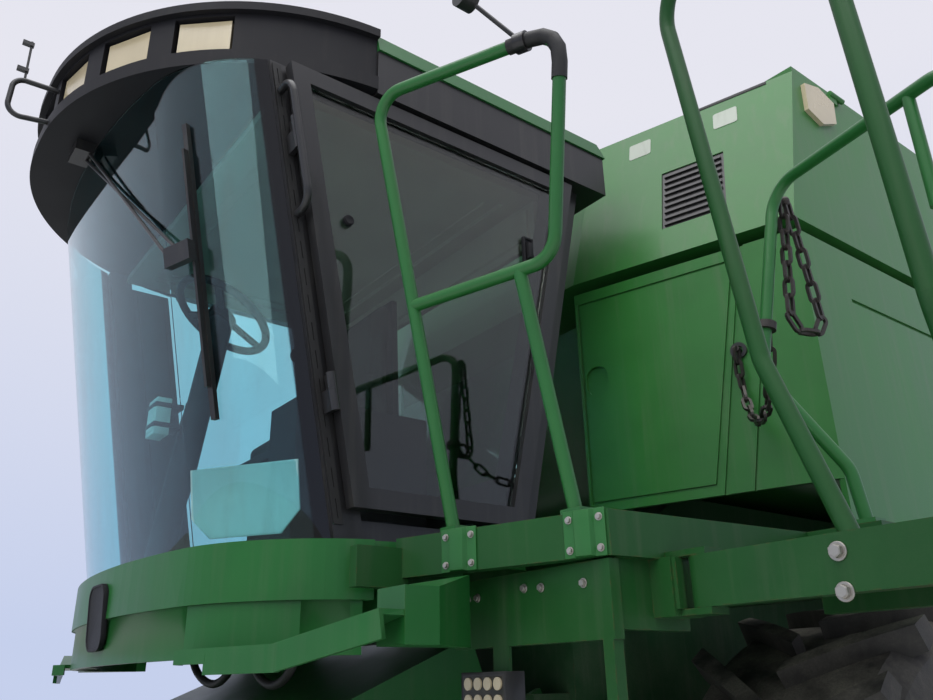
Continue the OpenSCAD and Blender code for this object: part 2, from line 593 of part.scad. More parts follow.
// Cleaning step under the skirt, level at first and then rising outward to its arm
step_z = deck_z - 260;
step_t = 12;
step_turn = 14.7;
step_rise = 9.6;
module front_step() {
    translate([0, cab_y, step_z - step_t]) linear_extrude(step_t) polygon([[600, 60], [640, 30], [1002, 130], [965, 300], [640, 170]]);
    translate([0, cab_y, step_z - 35]) linear_extrude(35) polygon([[600, 60], [640, 30], [760, 63], [757, 75], [644, 43], [610, 66]]);
    translate([0, cab_y, step_z - 60]) linear_extrude(60) polygon([[755, 62], [1002, 130], [1002, 143], [755, 75]]);
    translate([990, cab_y + 127, step_z]) rotate([0, 0, step_turn]) rotate([0, -step_rise, 0]) {
        block([0, 0, -step_t], [330, 165, 0]);
        block([0, 0, -60], [330, 12, -1]);
    }
    block([1190, cab_y + 240, step_z - 14], [1300, cab_y + 530, deck_z - 110]);
    block([cab_half_w - 165, cab_y + 450, deck_z - 210], [1195, cab_y + 530, deck_z - 130]);
    block([cab_half_w - 165, cab_y + 450, deck_z - 140], [cab_half_w - 25, cab_y + 530, deck_z - cab_floor_t + 1]);
}

// Windscreen: the cab's bowed front, leaning forward
visor_z0 = roof_z - roof_band + 10;
glass_z0 = deck_z + seat_gap;
glass_z1 = visor_z0 - seat_gap;
pillar_foot_y = 330;
glass_back = (pillar_foot_y - seat_gap) * cos(glass_lean);
module leaning(inset, back, h) translate([0, cab_y, deck_z]) rotate([glass_lean, 0, 0]) translate([0, -cab_y, -120]) linear_extrude(h + 240) cab_plan(inset, back);
module windscreen() color([0.3, 0.6, 0.65, 0.5]) intersection() {
    difference() {
        leaning(30, glass_back, glass_z1 - glass_z0);
        leaning(30 + glass_t, glass_back + 10, glass_z1 - glass_z0 + 2);
    }
    block([-cab_half_w, cab_y - 900, glass_z0], [cab_half_w, cab_y + 900, glass_z1]);
}

// Points on the front and rear pillar lines at a height
function front_pillar_y(z) = cab_y + pillar_foot_y - (z - deck_z) * tan(glass_lean);
function rear_pillar_y(z) = cab_y + 870 + (z - deck_z) * 0.235;
door_x = 880;
pillar_w = 70;
pillar_front_d = 90;
pillar_rear_d = 130;
module pillar(y0, y1, z0, z1, d, x) {
    loft([[x - pillar_w, y0, z0], [x, y0, z0], [x, y0 + d, z0], [x - pillar_w, y0 + d, z0]],
        [[x - pillar_w, y1, z1], [x, y1, z1], [x, y1 + d, z1], [x - pillar_w, y1 + d, z1]]);
}
roof_z0 = roof_z - roof_band;
module cab_frame() color("dimgray") {
    both_sides() {
        pillar(front_pillar_y(deck_z), front_pillar_y(roof_z0), deck_z, roof_z0, pillar_front_d, door_x);
        pillar(rear_pillar_y(deck_z), rear_pillar_y(roof_z0), deck_z, roof_z0, pillar_rear_d, door_x);
        // sill between the pillars
        block([door_x - pillar_w, front_pillar_y(deck_z) + 40, deck_z], [door_x - 20, rear_pillar_y(deck_z) + 40, deck_z + 60]);
    }
    // hinge knuckles of the door
    for (z = door_hinges) on_door_axis(z) difference() {
        union() {
            cylinder(h = knuckle_h, r = knuckle_r);
            block([-hinge_line_x + door_x - 2, -12, 0], [0, 6, knuckle_h]);
        }
        translate([0, 0, -1]) cylinder(h = knuckle_h + 2, d = door_pin_d + 2 * running_fit);
    }
    // head frame under the roof skin
    block([-roof_x, cab_y + roof_front, roof_z0], [roof_x, cab_y + roof_back, skin_z0]);
    // lower rear wall
    translate([0, rear_pillar_y(deck_z) + pillar_rear_d - 40, 0]) block([-door_x + pillar_w, 0, deck_z], [door_x - pillar_w, 30, deck_z + 260]);
}

// Roof skin and the moulded visor ahead of it, with a pocket for each lamp
roof_front = 390;
roof_back = 1430;
roof_x = door_x + 60;
skin_z0 = roof_z - 70;
module cab_roof() color("forestgreen") {
    y0 = cab_y + roof_front;
    y1 = cab_y + roof_back;
    loft(rectangle(roof_x + 8, y0, y1 + 8, skin_z0), rectangle(roof_x - 12, y0, y1 - 12, roof_z));
    loft(rectangle(roof_x - 12, y0, y1 - 12, roof_z - 1), rectangle(roof_x - 250, y0 + 80, y1 - 190, roof_z + 90));
}
visor_out = 420;
visor_corner_r = 900;
pocket_d = 55;
// A cab outline at a distance from the centre-plane: how far it has turned, and how far back it lies
function arc_end(corner) = corner_x(corner) * cab_front_r / (cab_front_r - corner);
function plan_turn(x, inset, corner) = x > arc_end(corner) ? asin((x - corner_x(corner)) / (corner - inset)) : asin(x / (cab_front_r - inset));
function plan_y(x, inset, corner) = x > arc_end(corner)
    ? corner_y(corner) - (corner - inset) * cos(plan_turn(x, inset, corner))
    : cab_front_r - (cab_front_r - inset) * cos(plan_turn(x, inset, corner));
lamp_places = [240, 500, 720];
lamp_w = 170;
lamp_z0 = visor_z0 + 75;
lamp_h = 115;
module on_face(x) translate([x, cab_y - visor_out + plan_y(x, 0, visor_corner_r), 0]) rotate([0, 0, plan_turn(x, 0, visor_corner_r)]) children();
module cab_visor() color("black") {
    back = roof_front + visor_out - seat_gap;
    difference() {
        union() {
            translate([0, -visor_out, visor_z0]) linear_extrude(50) cab_plan(0, back, visor_corner_r);
            translate([0, -visor_out, visor_z0 + 49]) linear_extrude(roof_band - 79) cab_plan(14, back, visor_corner_r);
            translate([0, -visor_out, visor_z0 + roof_band - 31]) linear_extrude(31) cab_plan(-6, back, visor_corner_r);
        }
        both_sides() for (x = concat([0], lamp_places))
            on_face(x) block([-lamp_w / 2 - 12, -50, lamp_z0 - 8], [lamp_w / 2 + 12, pocket_d + 15, lamp_z0 + lamp_h + 8]);
    }
}

// Fixed panes: right side and rear
module cab_glass() color([0.3, 0.6, 0.65, 0.5]) {
    pane(-door_x + 12, deck_z + 60 + seat_gap, roof_z0 - seat_gap);
    y = rear_pillar_y(deck_z) + pillar_rear_d - 20;
    z = deck_z + 260 + seat_gap;
    lean = (roof_z0 - z) * 0.235;
    shift = 260 * 0.235;
    w = door_x - pillar_w - seat_gap;
    loft([[-w, y + shift, z], [w, y + shift, z], [w, y + shift + glass_t, z], [-w, y + shift + glass_t, z]],
        [[-w, y + shift + lean, roof_z0 - seat_gap], [w, y + shift + lean, roof_z0 - seat_gap],
        [w, y + shift + lean + glass_t, roof_z0 - seat_gap], [-w, y + shift + lean + glass_t, roof_z0 - seat_gap]]);
}
module pane(x, z0, z1, gap = 1) across(x, x + glass_t) polygon([
    [front_pillar_y(z0) + pillar_front_d + gap, z0], [rear_pillar_y(z0) - gap, z0],
    [rear_pillar_y(z1) - gap, z1], [front_pillar_y(z1) + pillar_front_d + gap, z1]]);

// Left door: a frame round one pane, hinged on the front pillar
door_z0 = deck_z + 80;
door_z1 = roof_z0 - 12;
door_t = 40;
door_edge = 55;
door_gap = 8;
function door_outline(e) = [
    [front_pillar_y(door_z0 + e) + pillar_front_d * 0.5 + e * 1.02, door_z0 + e], [rear_pillar_y(door_z0 + e) + 60 - e * 1.03, door_z0 + e],
    [rear_pillar_y(door_z1 - e) + 60 - e * 1.03, door_z1 - e], [front_pillar_y(door_z1 - e) + pillar_front_d * 0.5 + e * 1.02, door_z1 - e]];
// Hinge line of the door, along the leaning front pillar
hinge_line_x = door_x + door_gap + door_t;
hinge_line_y = pillar_front_d / 2 - 15;
door_hinges = [door_z0 + 250, roof_z0 - 310];
knuckle_r = 13;
knuckle_h = 60;
door_pin_d = 14;
module on_door_axis(z) translate([hinge_line_x, front_pillar_y(z) + hinge_line_y, z]) rotate([glass_lean, 0, 0]) children();
module door_frame() color("dimgray") {
    for (z = door_hinges) on_door_axis(z) {
        translate([0, 0, knuckle_h + seat_gap]) cylinder(h = 45, r = knuckle_r);
        block([-door_t + 2, 0, knuckle_h + seat_gap], [0, 18, knuckle_h + 45]);
        cylinder(h = knuckle_h + 10, d = door_pin_d);
    }
    difference() {
        across(door_x + door_gap, door_x + door_gap + door_t) polygon(door_outline(0));
        across(door_x, door_x + door_gap + door_t + 1) polygon(door_outline(door_edge));
    }
}
module door_glass() color([0.3, 0.6, 0.65, 0.5]) across(door_x + door_gap + 16, door_x + door_gap + 16 + glass_t) polygon(door_outline(door_edge + seat_gap));

// Seat and controls
module seat() color("dimgray") {
    block([-250, cab_y + 490, deck_z + 420], [250, cab_y + 940, deck_z + 540]);
    block([-240, cab_y + 835, deck_z + 540 + seat_gap], [240, cab_y + 940, deck_z + 1120]);
}
module controls() color("black") {
    block([-200, cab_y + 540, deck_z + seat_gap], [200, cab_y + 880, deck_z + 420 - seat_gap]);
    block([270, cab_y + 400, deck_z + seat_gap], [470, cab_y + 900, deck_z + 520]);
    bar([360, cab_y + 470, deck_z + 500], [350, cab_y + 450, deck_z + 700], 30);
    translate([350, cab_y + 450, deck_z + 710]) sphere(d = 60);
    block([-70, cab_y + 100, deck_z + seat_gap], [70, cab_y + 220, deck_z + 30]);
    bar([0, cab_y + 160, deck_z + 20], [0, cab_y + 290, deck_z + 930], 90);
    translate([0, cab_y + 293, deck_z + 950]) rotate([-30, 0, 0]) {
        rotate_extrude() translate([185, 0]) circle(d = 30, $fn = 24);
        translate([0, 0, -30]) cylinder(h = 34, d = 110);
        for (a = [90, 210, 330]) rotate([0, 0, a]) translate([20, -15, -10]) cube([165, 30, 12]);
    }
}

// Platform with its edge beams, the bearers under it and the ladder's hinge
platform_front_y = cab_y + 640;
function beam_y(x) = platform_front_y - (platform_x - x) * tan(sweep);
deck_t = 30;
edge_t = 42;
landing_y = cab_y + 800;
landing_depth = 520;
landing_x1 = ladder_reach - 180;
hinge_x = platform_x + 90;
hinge_y = landing_y + 30;
hinge_pin_d = 30;
hinge_ear = 14;
platform_back_y = shield_front_y - 20;
apron_z = deck_z - 270;
led_x = 1165;
led_z = deck_z - 330;
led_w = 160;
led_h = 155;
side_step = 50;
module platform() color("forestgreen") {
    x0 = cab_half_w + 20;
    wide_y = landing_y + landing_depth + 12;
    translate([0, 0, deck_z - deck_t]) linear_extrude(deck_t) polygon([[x0, beam_y(x0)], [platform_x, platform_front_y],
        [platform_x + side_step, wide_y], [platform_x + 250, wide_y], [platform_x + 250, platform_back_y], [x0, beam_y(x0) + 1160]]);
    translate([0, 0, deck_z - beam_h]) linear_extrude(beam_h) {
        polygon([[x0, beam_y(x0)], [platform_x, platform_front_y], [platform_x, platform_front_y + edge_t], [x0, beam_y(x0) + edge_t]]);
        polygon([[platform_x, platform_front_y], [platform_x + side_step, wide_y],
            [platform_x + side_step - edge_t, wide_y], [platform_x - edge_t, platform_front_y + 10]]);
        translate([platform_x + side_step - edge_t, wide_y]) square([250 - side_step + edge_t, edge_t]);
    }
    for (y = [cab_y + 900, cab_y + 1480]) {
        block([thresher_half_w, y, deck_z - 150], [x0 + 20, y + 80, deck_z - cab_floor_t]);
        block([x0, y, deck_z - 150], [platform_x - 20, y + 80, deck_z - deck_t]);
    }
    // nose of the front beam beside the skirt
    block([cab_half_w + 6, cab_y + 336, deck_z - 126], [cab_half_w + 40, beam_y(x0) + 20, deck_z - 26]);
    // apron under the front beam, its webs, and the bracket of the lower lamp
    block([980, cab_y + 640, apron_z], [1540, cab_y + 670, deck_z - 105]);
    for (x = [980, 1500]) block([x, cab_y + 669, apron_z + 20], [x + 30, cab_y + 901, deck_z - cab_floor_t]);
    block([1505, cab_y + 640, apron_z - 230], [1535, cab_y + 670, apron_z + 1]);
    block([led_x - 30, cab_y + 640, led_z - 30], [led_x + 30, cab_y + 648, apron_z + 1]);
    // hinge of the landing
    block([platform_x - 80, landing_y - 14, landing_z - landing_h], [hinge_x - 40, landing_y + 10, landing_z]);
    block([platform_x - edge_t, hinge_y - 50, landing_z - beam_h - 25], [hinge_x - 50, hinge_y + 50, deck_z - beam_h + 1]);
    for (z = [landing_z - landing_h - hinge_ear - seat_gap, landing_z + seat_gap])
        block([platform_x - 20, hinge_y - 30, z], [hinge_x + 30, hinge_y + 30, z + hinge_ear]);
    translate([hinge_x, hinge_y, landing_z - landing_h - 5]) cylinder(h = landing_h + 10, d = hinge_pin_d);
}

// Handrails: the loop that leans over the platform's front edge, and the guard rail behind the landing
loop_lean = 12;
loop_foot = [1110, beam_y(1110) + 20, deck_z];
function loop_at(p) = loop_foot + [cos(sweep), sin(sweep), 0] * p[0] + [0, -sin(loop_lean), cos(loop_lean)] * p[1];
guard_low = [platform_x + 70, cab_y + 1215, deck_z + 410];
guard_high = [platform_x + 150, cab_y + 1300, deck_z + 990];
guard_end = [2300, cab_y + 1095, deck_z + 930];
stub_share = 0.78;
guard_foot = [1750, cab_y + 1362, deck_z];
foot_t = 12;
module foot_plate() translate([-32, -20, seat_gap]) cube([64, 50, foot_t]);
module handrails() color("forestgreen") {
    bent_tube([for (p = [[20, foot_t / 2], [20, 1235], [610, 1165], [455, 600], [20, 600]]) loop_at(p)], rail_d, 75);
    bar(loop_at([366, foot_t / 2]), loop_at([356, 600]), rail_d);
    for (s = [20, 366]) translate(loop_at([s, 0])) foot_plate();
    translate(guard_foot) foot_plate();
    bent_tube([guard_foot + [0, 0, foot_t / 2], guard_foot + [-8, -17, 140], guard_low, guard_high, guard_end, guard_end - [0, 0, 260]], rail_d, 90);
    // stub that the landing's hoop rests against
    stub_top = guard_high + (guard_end - guard_high) * stub_share;
    bar(stub_top, stub_top - [0, 0, 310], rail_d - 4);
}

// Landing that swings forward with its ladder and the hoop of its handrails
landing_h = 110;
step_gap = 290;
stringer_w = 60;
module ladder() color("forestgreen") {
    y0 = landing_y;
    y1 = landing_y + landing_depth;
    low = 450;
    out = ladder_reach - stringer_w;
    // landing deck on its frame
    difference() {
        union() {
            block([hinge_x, y0, landing_z - deck_t], [landing_x1, y1, landing_z]);
            block([hinge_x, y0, landing_z - landing_h], [landing_x1, y0 + 40, landing_z]);
            translate([hinge_x, hinge_y, landing_z - landing_h]) cylinder(h = landing_h, d = 60);
        }
        translate([hinge_x, hinge_y, landing_z - landing_h - 1]) cylinder(h = landing_h + 2, d = hinge_pin_d + 2 * running_fit);
    }
    block([hinge_x, y1 - 40, landing_z - landing_h], [landing_x1, y1, landing_z - deck_t + 1]);
    // stringers and treads
    for (y = [y0 + 15, y1 - 45]) translate([0, y + 30, 0]) rotate([90, 0, 0]) linear_extrude(30) polygon([
        [landing_x1 - 10, landing_z], [landing_x1 - 10, landing_z - landing_h], [out, low], [out + stringer_w, low], [landing_x1 + stringer_w, landing_z]]);
    for (i = [0:4]) {
        z = low + 20 + i * step_gap;
        x = out + stringer_w / 2 - (z - low) * (out - landing_x1) / (landing_z - low);
        block([x - 80, y0 + 40, z], [x + 80, y1 - 40, z + 35]);
    }
    // hoop
    bent_tube([[1990, y0 + 20, landing_z - 5], [1872, y0 + 10, 2230], [1755, y0 - 10, 3330], [2240, y0 - 170, 3330],
        [2275, y0 - 180, 2870], [2305, y0 - 180, 2150], [landing_x1 + 60, y0 + 30, 1450]], ladder_rail_d, 120);
}

// Work lamps: three a side in the visor, one on the tank's side, one under the platform
module work_lamps() color("ivory") {
    both_sides() for (x = lamp_places)
        on_face(x) block([-lamp_w / 2, pocket_d - 25, lamp_z0], [lamp_w / 2, pocket_d + 15 - seat_gap, lamp_z0 + lamp_h]);
    side_y = cab_y + 2125;
    side_z = tank_top_z - 115;
    across(body_half_w + seat_gap, body_half_w + 18) translate([side_y, side_z]) polygon([
        [-110, 65], [-120, -65], [-20, -95], [90, -45], [105, 65], [0, 95]]);
    block([led_x - led_w / 2, cab_y + 585, led_z - led_h], [led_x + led_w / 2, cab_y + 640 - seat_gap, led_z]);
    // lens columns of the lower lamp
    for (i = [0:3], k = [0:3]) translate([led_x + (i - 1.5) * 37, cab_y + 586, led_z - 22 - k * 37]) rotate([90, 0, 0]) cylinder(h = 7, d = 28);
}

// Black fittings: grab handle, wiper, handle and clamp on the visor, tank vent, eyelet and the arm on the loop
handle_z0 = deck_z + 910;
handle_z1 = deck_z + 1310;
glass_inset = 30;
module on_glass(x) translate([0, cab_y, deck_z]) rotate([glass_lean, 0, 0])
    translate([x, plan_y(x, glass_inset, cab_corner_r), 0]) rotate([0, 0, plan_turn(x, glass_inset, cab_corner_r)]) children();
function glass_point(x, off, h) = let (t = plan_turn(x, glass_inset, cab_corner_r), y = plan_y(x, glass_inset, cab_corner_r) - off * cos(t))
    [x + off * sin(t), cab_y + y * cos(glass_lean) - h * sin(glass_lean), deck_z + y * sin(glass_lean) + h * cos(glass_lean)];
wiper_x = 675;
wiper_off = 45;
arm_d = 11;
bracket_x = 120;
module wiper() {
    on_glass(wiper_x) {
        block([-8, -17, 310], [8, -seat_gap, 1220]);
        block([-4, -34, 400], [4, -16, 1130]);
    }
    on_glass(wiper_x - 35) block([-45, -58, 770], [52, -32, 830]);
    // motor under the visor, and the two arms that lead to the wiper's holder
    block([20, cab_y - 320, visor_z0 - 40], [125, cab_y - 258, visor_z0 - seat_gap]);
    bar(glass_point(wiper_x - 75, wiper_off, 815), [95, cab_y - 275, visor_z0 - 20], arm_d);
    bar(glass_point(wiper_x - 25, wiper_off, 800), [45, cab_y - 275, visor_z0 - 20], arm_d);
}
loop_top = [500, 1178];
arm_end = [1510, cab_y + 315, 3245];
module cab_fittings() color("black") {
    y0 = front_pillar_y(handle_z0) + 20;
    y1 = front_pillar_y(handle_z1) + 20;
    bent_tube([[door_x + seat_gap, y0, handle_z0], [door_x + 80, y0, handle_z0],
        [door_x + 80, y1, handle_z1], [door_x + seat_gap, y1, handle_z1]], 24, 50);
    wiper();
    // handle with its clamp rod on the visor's front
    face = cab_y - visor_out + plan_y(bracket_x, 14, visor_corner_r) - 1.3;
    bent_tube([[bracket_x, face, roof_z - 70], [bracket_x, cab_y - 540, roof_z - 75],
        [bracket_x, cab_y - 545, roof_z - 225], [bracket_x, face - 14, visor_z0 + 25]], 18, 40);
    bar([bracket_x, cab_y - 510, roof_z - 80], [bracket_x, cab_y - 512, roof_z + 90], 8);
    for (z = [roof_z - 40, roof_z + 70]) block([bracket_x - 8, cab_y - 540, z], [bracket_x + 8, cab_y - 504, z + 14]);
    // vent in the tank's front
    on_tank_front() {
        gap = seat_gap;
        block([vent_x + gap, 5, vent_z + gap], [vent_x + vent_w - gap, vent_d - gap, vent_z + vent_h - gap]);
        for (i = [0:8]) block([vent_x + 12, -4, vent_z + 14 + i * 33], [vent_x + vent_w - 12, 6, vent_z + 26 + i * 33]);
    }
    // eyelet of the lower chain
    on_front() translate([grommet_x, -seat_gap, grommet_z]) rotate([90, 0, 0]) difference() {
        cylinder(h = 12, d = 58);
        translate([0, 0, -1]) cylinder(h = 14, d = 32);
    }
    // arm with a marker lamp, clamped on the loop of the handrail
    along = unit(loop_at([610, 1165]) - loop_at([20, 1235]));
    at = loop_at(loop_top);
    difference() {
        bar(at - along * 16, at + along * 16, rail_d + 18);
        bar(at - along * 17, at + along * 17, rail_d + 2 * seat_gap);
    }
    out = unit(arm_end - at);
    bar(at + out * (rail_d / 2 + 9), arm_end, 12);
    bar(arm_end - [0, 25, 0], arm_end + [0, 20, 0], 62);
}

// Safety chains: links turned by a quarter each, fused where they lie in each other
link_l = 70;
link_w = 34;
link_wire = 9;
link_pitch = link_l - 2 * link_wire + 0.8;
module link() translate([0, 0, -link_wire / 2]) linear_extrude(link_wire) difference() {
    stadium(link_l, link_w, 12);
    stadium(link_l - 2 * link_wire, link_w - 2 * link_wire, 12);
}
module link_at(i, p, u) {
    s = side_of(u);
    n = cross(u, s);
    multmatrix(i % 2 == 0 ? frame_at(u, s, n, p) : frame_at(u, n, -s, p)) link();
}
// A hanging loop: down one side, round its foot and up the other, measured along the chain
function drop(s, l, r) = s < l ? [-7 - (r - 7) * s / l, -s]
    : s < l + PI * r ? [-r * cos((s - l) / r * 180 / PI), -l - r * sin((s - l) / r * 180 / PI)]
    : [7 + (r - 7) * (2 * l + PI * r - s) / l, s - 2 * l - PI * r];
loop_links = 17;
loop_r = 50;
loop_side = (loop_links * link_pitch - PI * loop_r) / 2;
loop_hook = guard_high + [8, 33.3, -38];
function loop_point(s) = let (q = drop(s, loop_side, loop_r)) loop_hook + [0.3 * q[0], q[0], q[1]];
// A chain between two points, hanging in an arc that turns by this angle on each side
arc_turn = 84;
arc_links = 16;
module hanging(a, b) {
    chord = norm(b - a);
    r = chord / 2 / sin(arc_turn);
    u = unit(b - a);
    down = unit(cross(u, [u[1], -u[0], 0]));
    mid = (a + b) / 2 - down * r * cos(arc_turn);
    for (i = [0:arc_links - 1]) {
        t = -arc_turn + (i + 0.5) * 2 * arc_turn / arc_links;
        link_at(i, mid + r * (u * sin(t) + down * cos(t)), u * cos(t) - down * sin(t));
    }
}
module safety_chains() color("dimgray") {
    for (i = [0:loop_links - 1]) {
        s = (i + 0.5) * link_pitch;
        link_at(i, loop_point(s), unit(loop_point(s + 4) - loop_point(s - 4)));
    }
    translate(loop_hook) sphere(d = 31.6, $fn = 12);
    on_front() translate([grommet_x, -seat_gap, grommet_z]) rotate([90, 0, 0]) cylinder(h = hook_out, d = 20);
    hanging(chain_hook, clamp_at - [12, -rail_d / 2 - 16, 0]);
    difference() {
        bar(clamp_at - clamp_along * 11, clamp_at + clamp_along * 11, rail_d + 24);
        bar(clamp_at - clamp_along * 12, clamp_at + clamp_along * 12, rail_d + 2 * seat_gap);
    }
}
hook_out = 34;
chain_hook = [front_in_x + grommet_x * cos(sweep) + hook_out * sin(sweep), front_in_y + grommet_x * sin(sweep) - hook_out * cos(sweep), grommet_z];
clamp_along = unit(guard_high - guard_low);
clamp_at = guard_low + (guard_high - guard_low) * 0.24;
auger_x = body_half_w - sheet - 10 - auger_d / 2;
module auger_base() color("forestgreen") translate([auger_x, front_axle_y + auger_back, 0]) {
    translate([0, 0, outrigger_z]) cylinder(h = auger_z - auger_d / 2 - 60 - outrigger_z, d = auger_d);
    translate([0, 0, auger_z - auger_d / 2 - 80]) cylinder(h = 20, d = auger_d + 60);
    block([thresher_half_w + seat_gap - auger_x, -60, thresher_top_z - 150], [0, 60, thresher_top_z - 50]);
}
auger_z = 3320;
module unload_auger() color("forestgreen") translate([auger_x, front_axle_y + auger_back, 0]) {
    translate([0, 0, auger_z - auger_d / 2 - 60 + seat_gap]) cylinder(h = 20, d = auger_d + 60);
    translate([0, 0, auger_z - auger_d / 2 - 42]) cylinder(h = auger_d / 2 + 42, d = auger_d);
    reach = rear_y - 60 - front_axle_y - auger_back;
    translate([0, 0, auger_z]) rotate([-90, 0, 0]) cylinder(h = reach, d = auger_d - 2);
    for (y = [420, reach * 0.5, reach - 340]) translate([0, y, auger_z]) rotate([-90, 0, 0]) cylinder(h = 18, d = auger_d + 40);
    // spout that turns the grain down
    translate([0, reach - 160, auger_z - auger_d / 2 - 230]) cylinder(h = auger_d / 2 + 200, d = auger_d - 40);
}

// Feeder house, drawn level along its own axis and then sloped down to the mouth
pivot_pin_d = 60;
lock_d = 32;
feeder_pivot_y = thresher_front_y - 90;
feeder_len = (feeder_pivot_y - mouth_y - feeder_depth / 2 * sin(feeder_slope)) / cos(feeder_slope);
module sloped() translate([0, feeder_pivot_y, feeder_pivot_z]) rotate([feeder_slope, 0, 0]) children();
module feeder_house() color("forestgreen") {
    sloped() difference() {
        block([-feeder_half_w, -feeder_len, -feeder_depth / 2], [feeder_half_w, -150, feeder_depth / 2]);
        block([-feeder_half_w + feeder_wall, -feeder_len - 1, -feeder_depth / 2 + feeder_wall], [feeder_half_w - feeder_wall, -149, feeder_depth / 2 - feeder_wall]);
        translate([-feeder_half_w - 1, -feeder_len + 80, -feeder_depth / 2 + 50]) rotate([0, 90, 0]) cylinder(h = 2 * feeder_half_w + 2, d = lock_d);
    }
    both_sides() sloped() {
        // side plates and pins at the pivot
        block([feeder_half_w - feeder_wall, -170, -70], [feeder_half_w, 45, 70]);
        translate([feeder_half_w - 5, 0, 0]) rotate([0, 90, 0]) cylinder(h = 62, d = pivot_pin_d);
        // lugs of the header lock
        difference() {
            block([feeder_half_w - 1, -feeder_len + 30, -feeder_depth / 2], [feeder_half_w + 30, -feeder_len + 130, -feeder_depth / 2 + 100]);
            translate([feeder_half_w - feeder_wall - 1, -feeder_len + 80, -feeder_depth / 2 + 50]) rotate([0, 90, 0]) cylinder(h = 60, d = lock_d);
        }
        // ears and pins for the lift rods
        for (x = [-ear_out, ear_in]) block([lift_x + x, lift_ear - 70, -feeder_depth / 2 - 140], [lift_x + x + ear_out - ear_in, lift_ear + 70, -feeder_depth / 2 + 1]);
        translate([lift_x - ear_out, lift_ear, -feeder_depth / 2 - 90]) rotate([0, 90, 0]) cylinder(h = 2 * ear_out, d = lift_pin_d);
    }
}
lift_ear = -900;
ear_in = 24;
ear_out = 48;
// Feeder chain: three strands round a drum and a rear roller, with slats across them
drum_y = -feeder_len + 200;
roller_y = -feeder_len + 790;
strand_r = 140;
slat_r = 172;
strand_places = [-560, 0, 560];
module feeder_chain() color("dimgray") sloped() {
    half = feeder_half_w - feeder_wall - seat_gap;
    for (y = [drum_y, roller_y]) translate([-half, y, 0]) rotate([0, 90, 0]) cylinder(h = 2 * half, d = 60);
    translate([-half + 60, drum_y, 0]) rotate([0, 90, 0]) cylinder(h = 2 * half - 120, d = 230);
    for (x = strand_places) across(x - 14, x + 14) translate([(drum_y + roller_y) / 2, 0]) difference() {
        stadium(roller_y - drum_y + 2 * strand_r, 2 * strand_r);
        stadium(roller_y - drum_y + 2 * strand_r - 120, 2 * strand_r - 60);
    }
    for (x = strand_places) translate([x - 14, roller_y, 0]) rotate([0, 90, 0]) cylinder(h = 28, d = 226);
    for (z = [-slat_r, strand_r - 4], y = [drum_y:147.5:roller_y + 1]) block([-half + 30, y - 20, z], [half - 30, y - 12, z + slat_r - strand_r + 4]);
    for (a = [-50, 0, 50]) translate([0, drum_y, 0]) rotate([a, 0, 0]) block([-half + 30, -slat_r, -4], [half - 30, -strand_r + 4, 4]);
}

// Lift cylinders between the front axle and the feeder house
lift_top = [0, feeder_pivot_y + lift_ear * cos(feeder_slope) + (feeder_depth / 2 + 90) * sin(feeder_slope),
    feeder_pivot_z + lift_ear * sin(feeder_slope) - (feeder_depth / 2 + 90) * cos(feeder_slope)];
lift_foot = [0, lift_foot_y, lift_foot_z];
lift_dir = unit(lift_top - lift_foot);
lift_len = norm(lift_top - lift_foot);
lift_eye_d = 90;
eye_t = 38;
lift_neck = 120;
barrel_end = lift_len - 262;
rod_start = 460;
rod_eye_play = 14;
rod_eye_d = lift_pin_d + 2 * rod_eye_play + 32;
module along_lift(d) multmatrix(frame_at([1, 0, 0], cross(lift_dir, [1, 0, 0]), lift_dir, lift_foot + lift_dir * d)) children();
module lift_barrels() color("black") both_sides() translate([lift_x, 0, 0]) difference() {
    union() {
        along_lift(lift_neck - 10) cylinder(h = barrel_end - lift_neck + 10, d = lift_barrel_d);
        along_lift(0) translate([-eye_t / 2, -30, 0]) cube([eye_t, 60, lift_neck]);
        translate(lift_foot - [eye_t / 2, 0, 0]) rotate([0, 90, 0]) cylinder(h = eye_t, d = lift_eye_d);
    }
    along_lift(lift_neck + 60) cylinder(h = barrel_end, d = lift_rod_d + 2 * running_fit);
    translate(lift_foot - [eye_t, 0, 0]) rotate([0, 90, 0]) cylinder(h = 2 * eye_t, d = lift_pin_d + 2 * running_fit);
}
module lift_rods() color("silver") both_sides() translate([lift_x, 0, 0]) difference() {
    union() {
        along_lift(rod_start) cylinder(h = lift_len - lift_neck + 10 - rod_start, d = lift_rod_d);
        along_lift(lift_len - lift_neck) translate([-eye_t / 2, -25, 0]) cube([eye_t, 50, lift_neck]);
        translate(lift_top - [eye_t / 2, 0, 0]) rotate([0, 90, 0]) cylinder(h = eye_t, d = rod_eye_d);
    }
    translate(lift_top - [eye_t, 0, 0]) rotate([0, 90, 0]) cylinder(h = 2 * eye_t, d = lift_pin_d + 2 * rod_eye_play);
}

origin() chassis();
origin() front_axle();
origin() rear_axle();
origin() threshing_body();
origin() body_panels();
origin() grain_tank();
origin() engine();
origin() engine_hood();
origin() radiator_screen();
origin() exhaust();
origin() straw_hood();
origin() fuel_tank();
origin() cab_base();
origin() cab_frame();
origin() cab_roof();
origin() cab_visor();
origin() windscreen();
origin() cab_glass();
origin() seat();
origin() controls();
origin() platform();
origin() handrails();
origin() work_lamps();
origin() cab_fittings();
origin() safety_chains();
origin() auger_base();
origin() door_frame();
origin() door_glass();
origin() ladder();
origin() feeder_house();
origin() feeder_chain();
origin() lift_barrels();
origin() lift_rods();
origin() unload_auger();
origin() tank_cover_left();
origin() tank_cover_right();
origin() front_rim_left();
origin() front_tyre_left();
origin() front_rim_right();
origin() front_tyre_right();
origin() rear_rim_left();
origin() rear_tyre_left();
origin() rear_rim_right();
origin() rear_tyre_right();
origin() knuckle_left();
origin() knuckle_right();
origin() tie_rod();
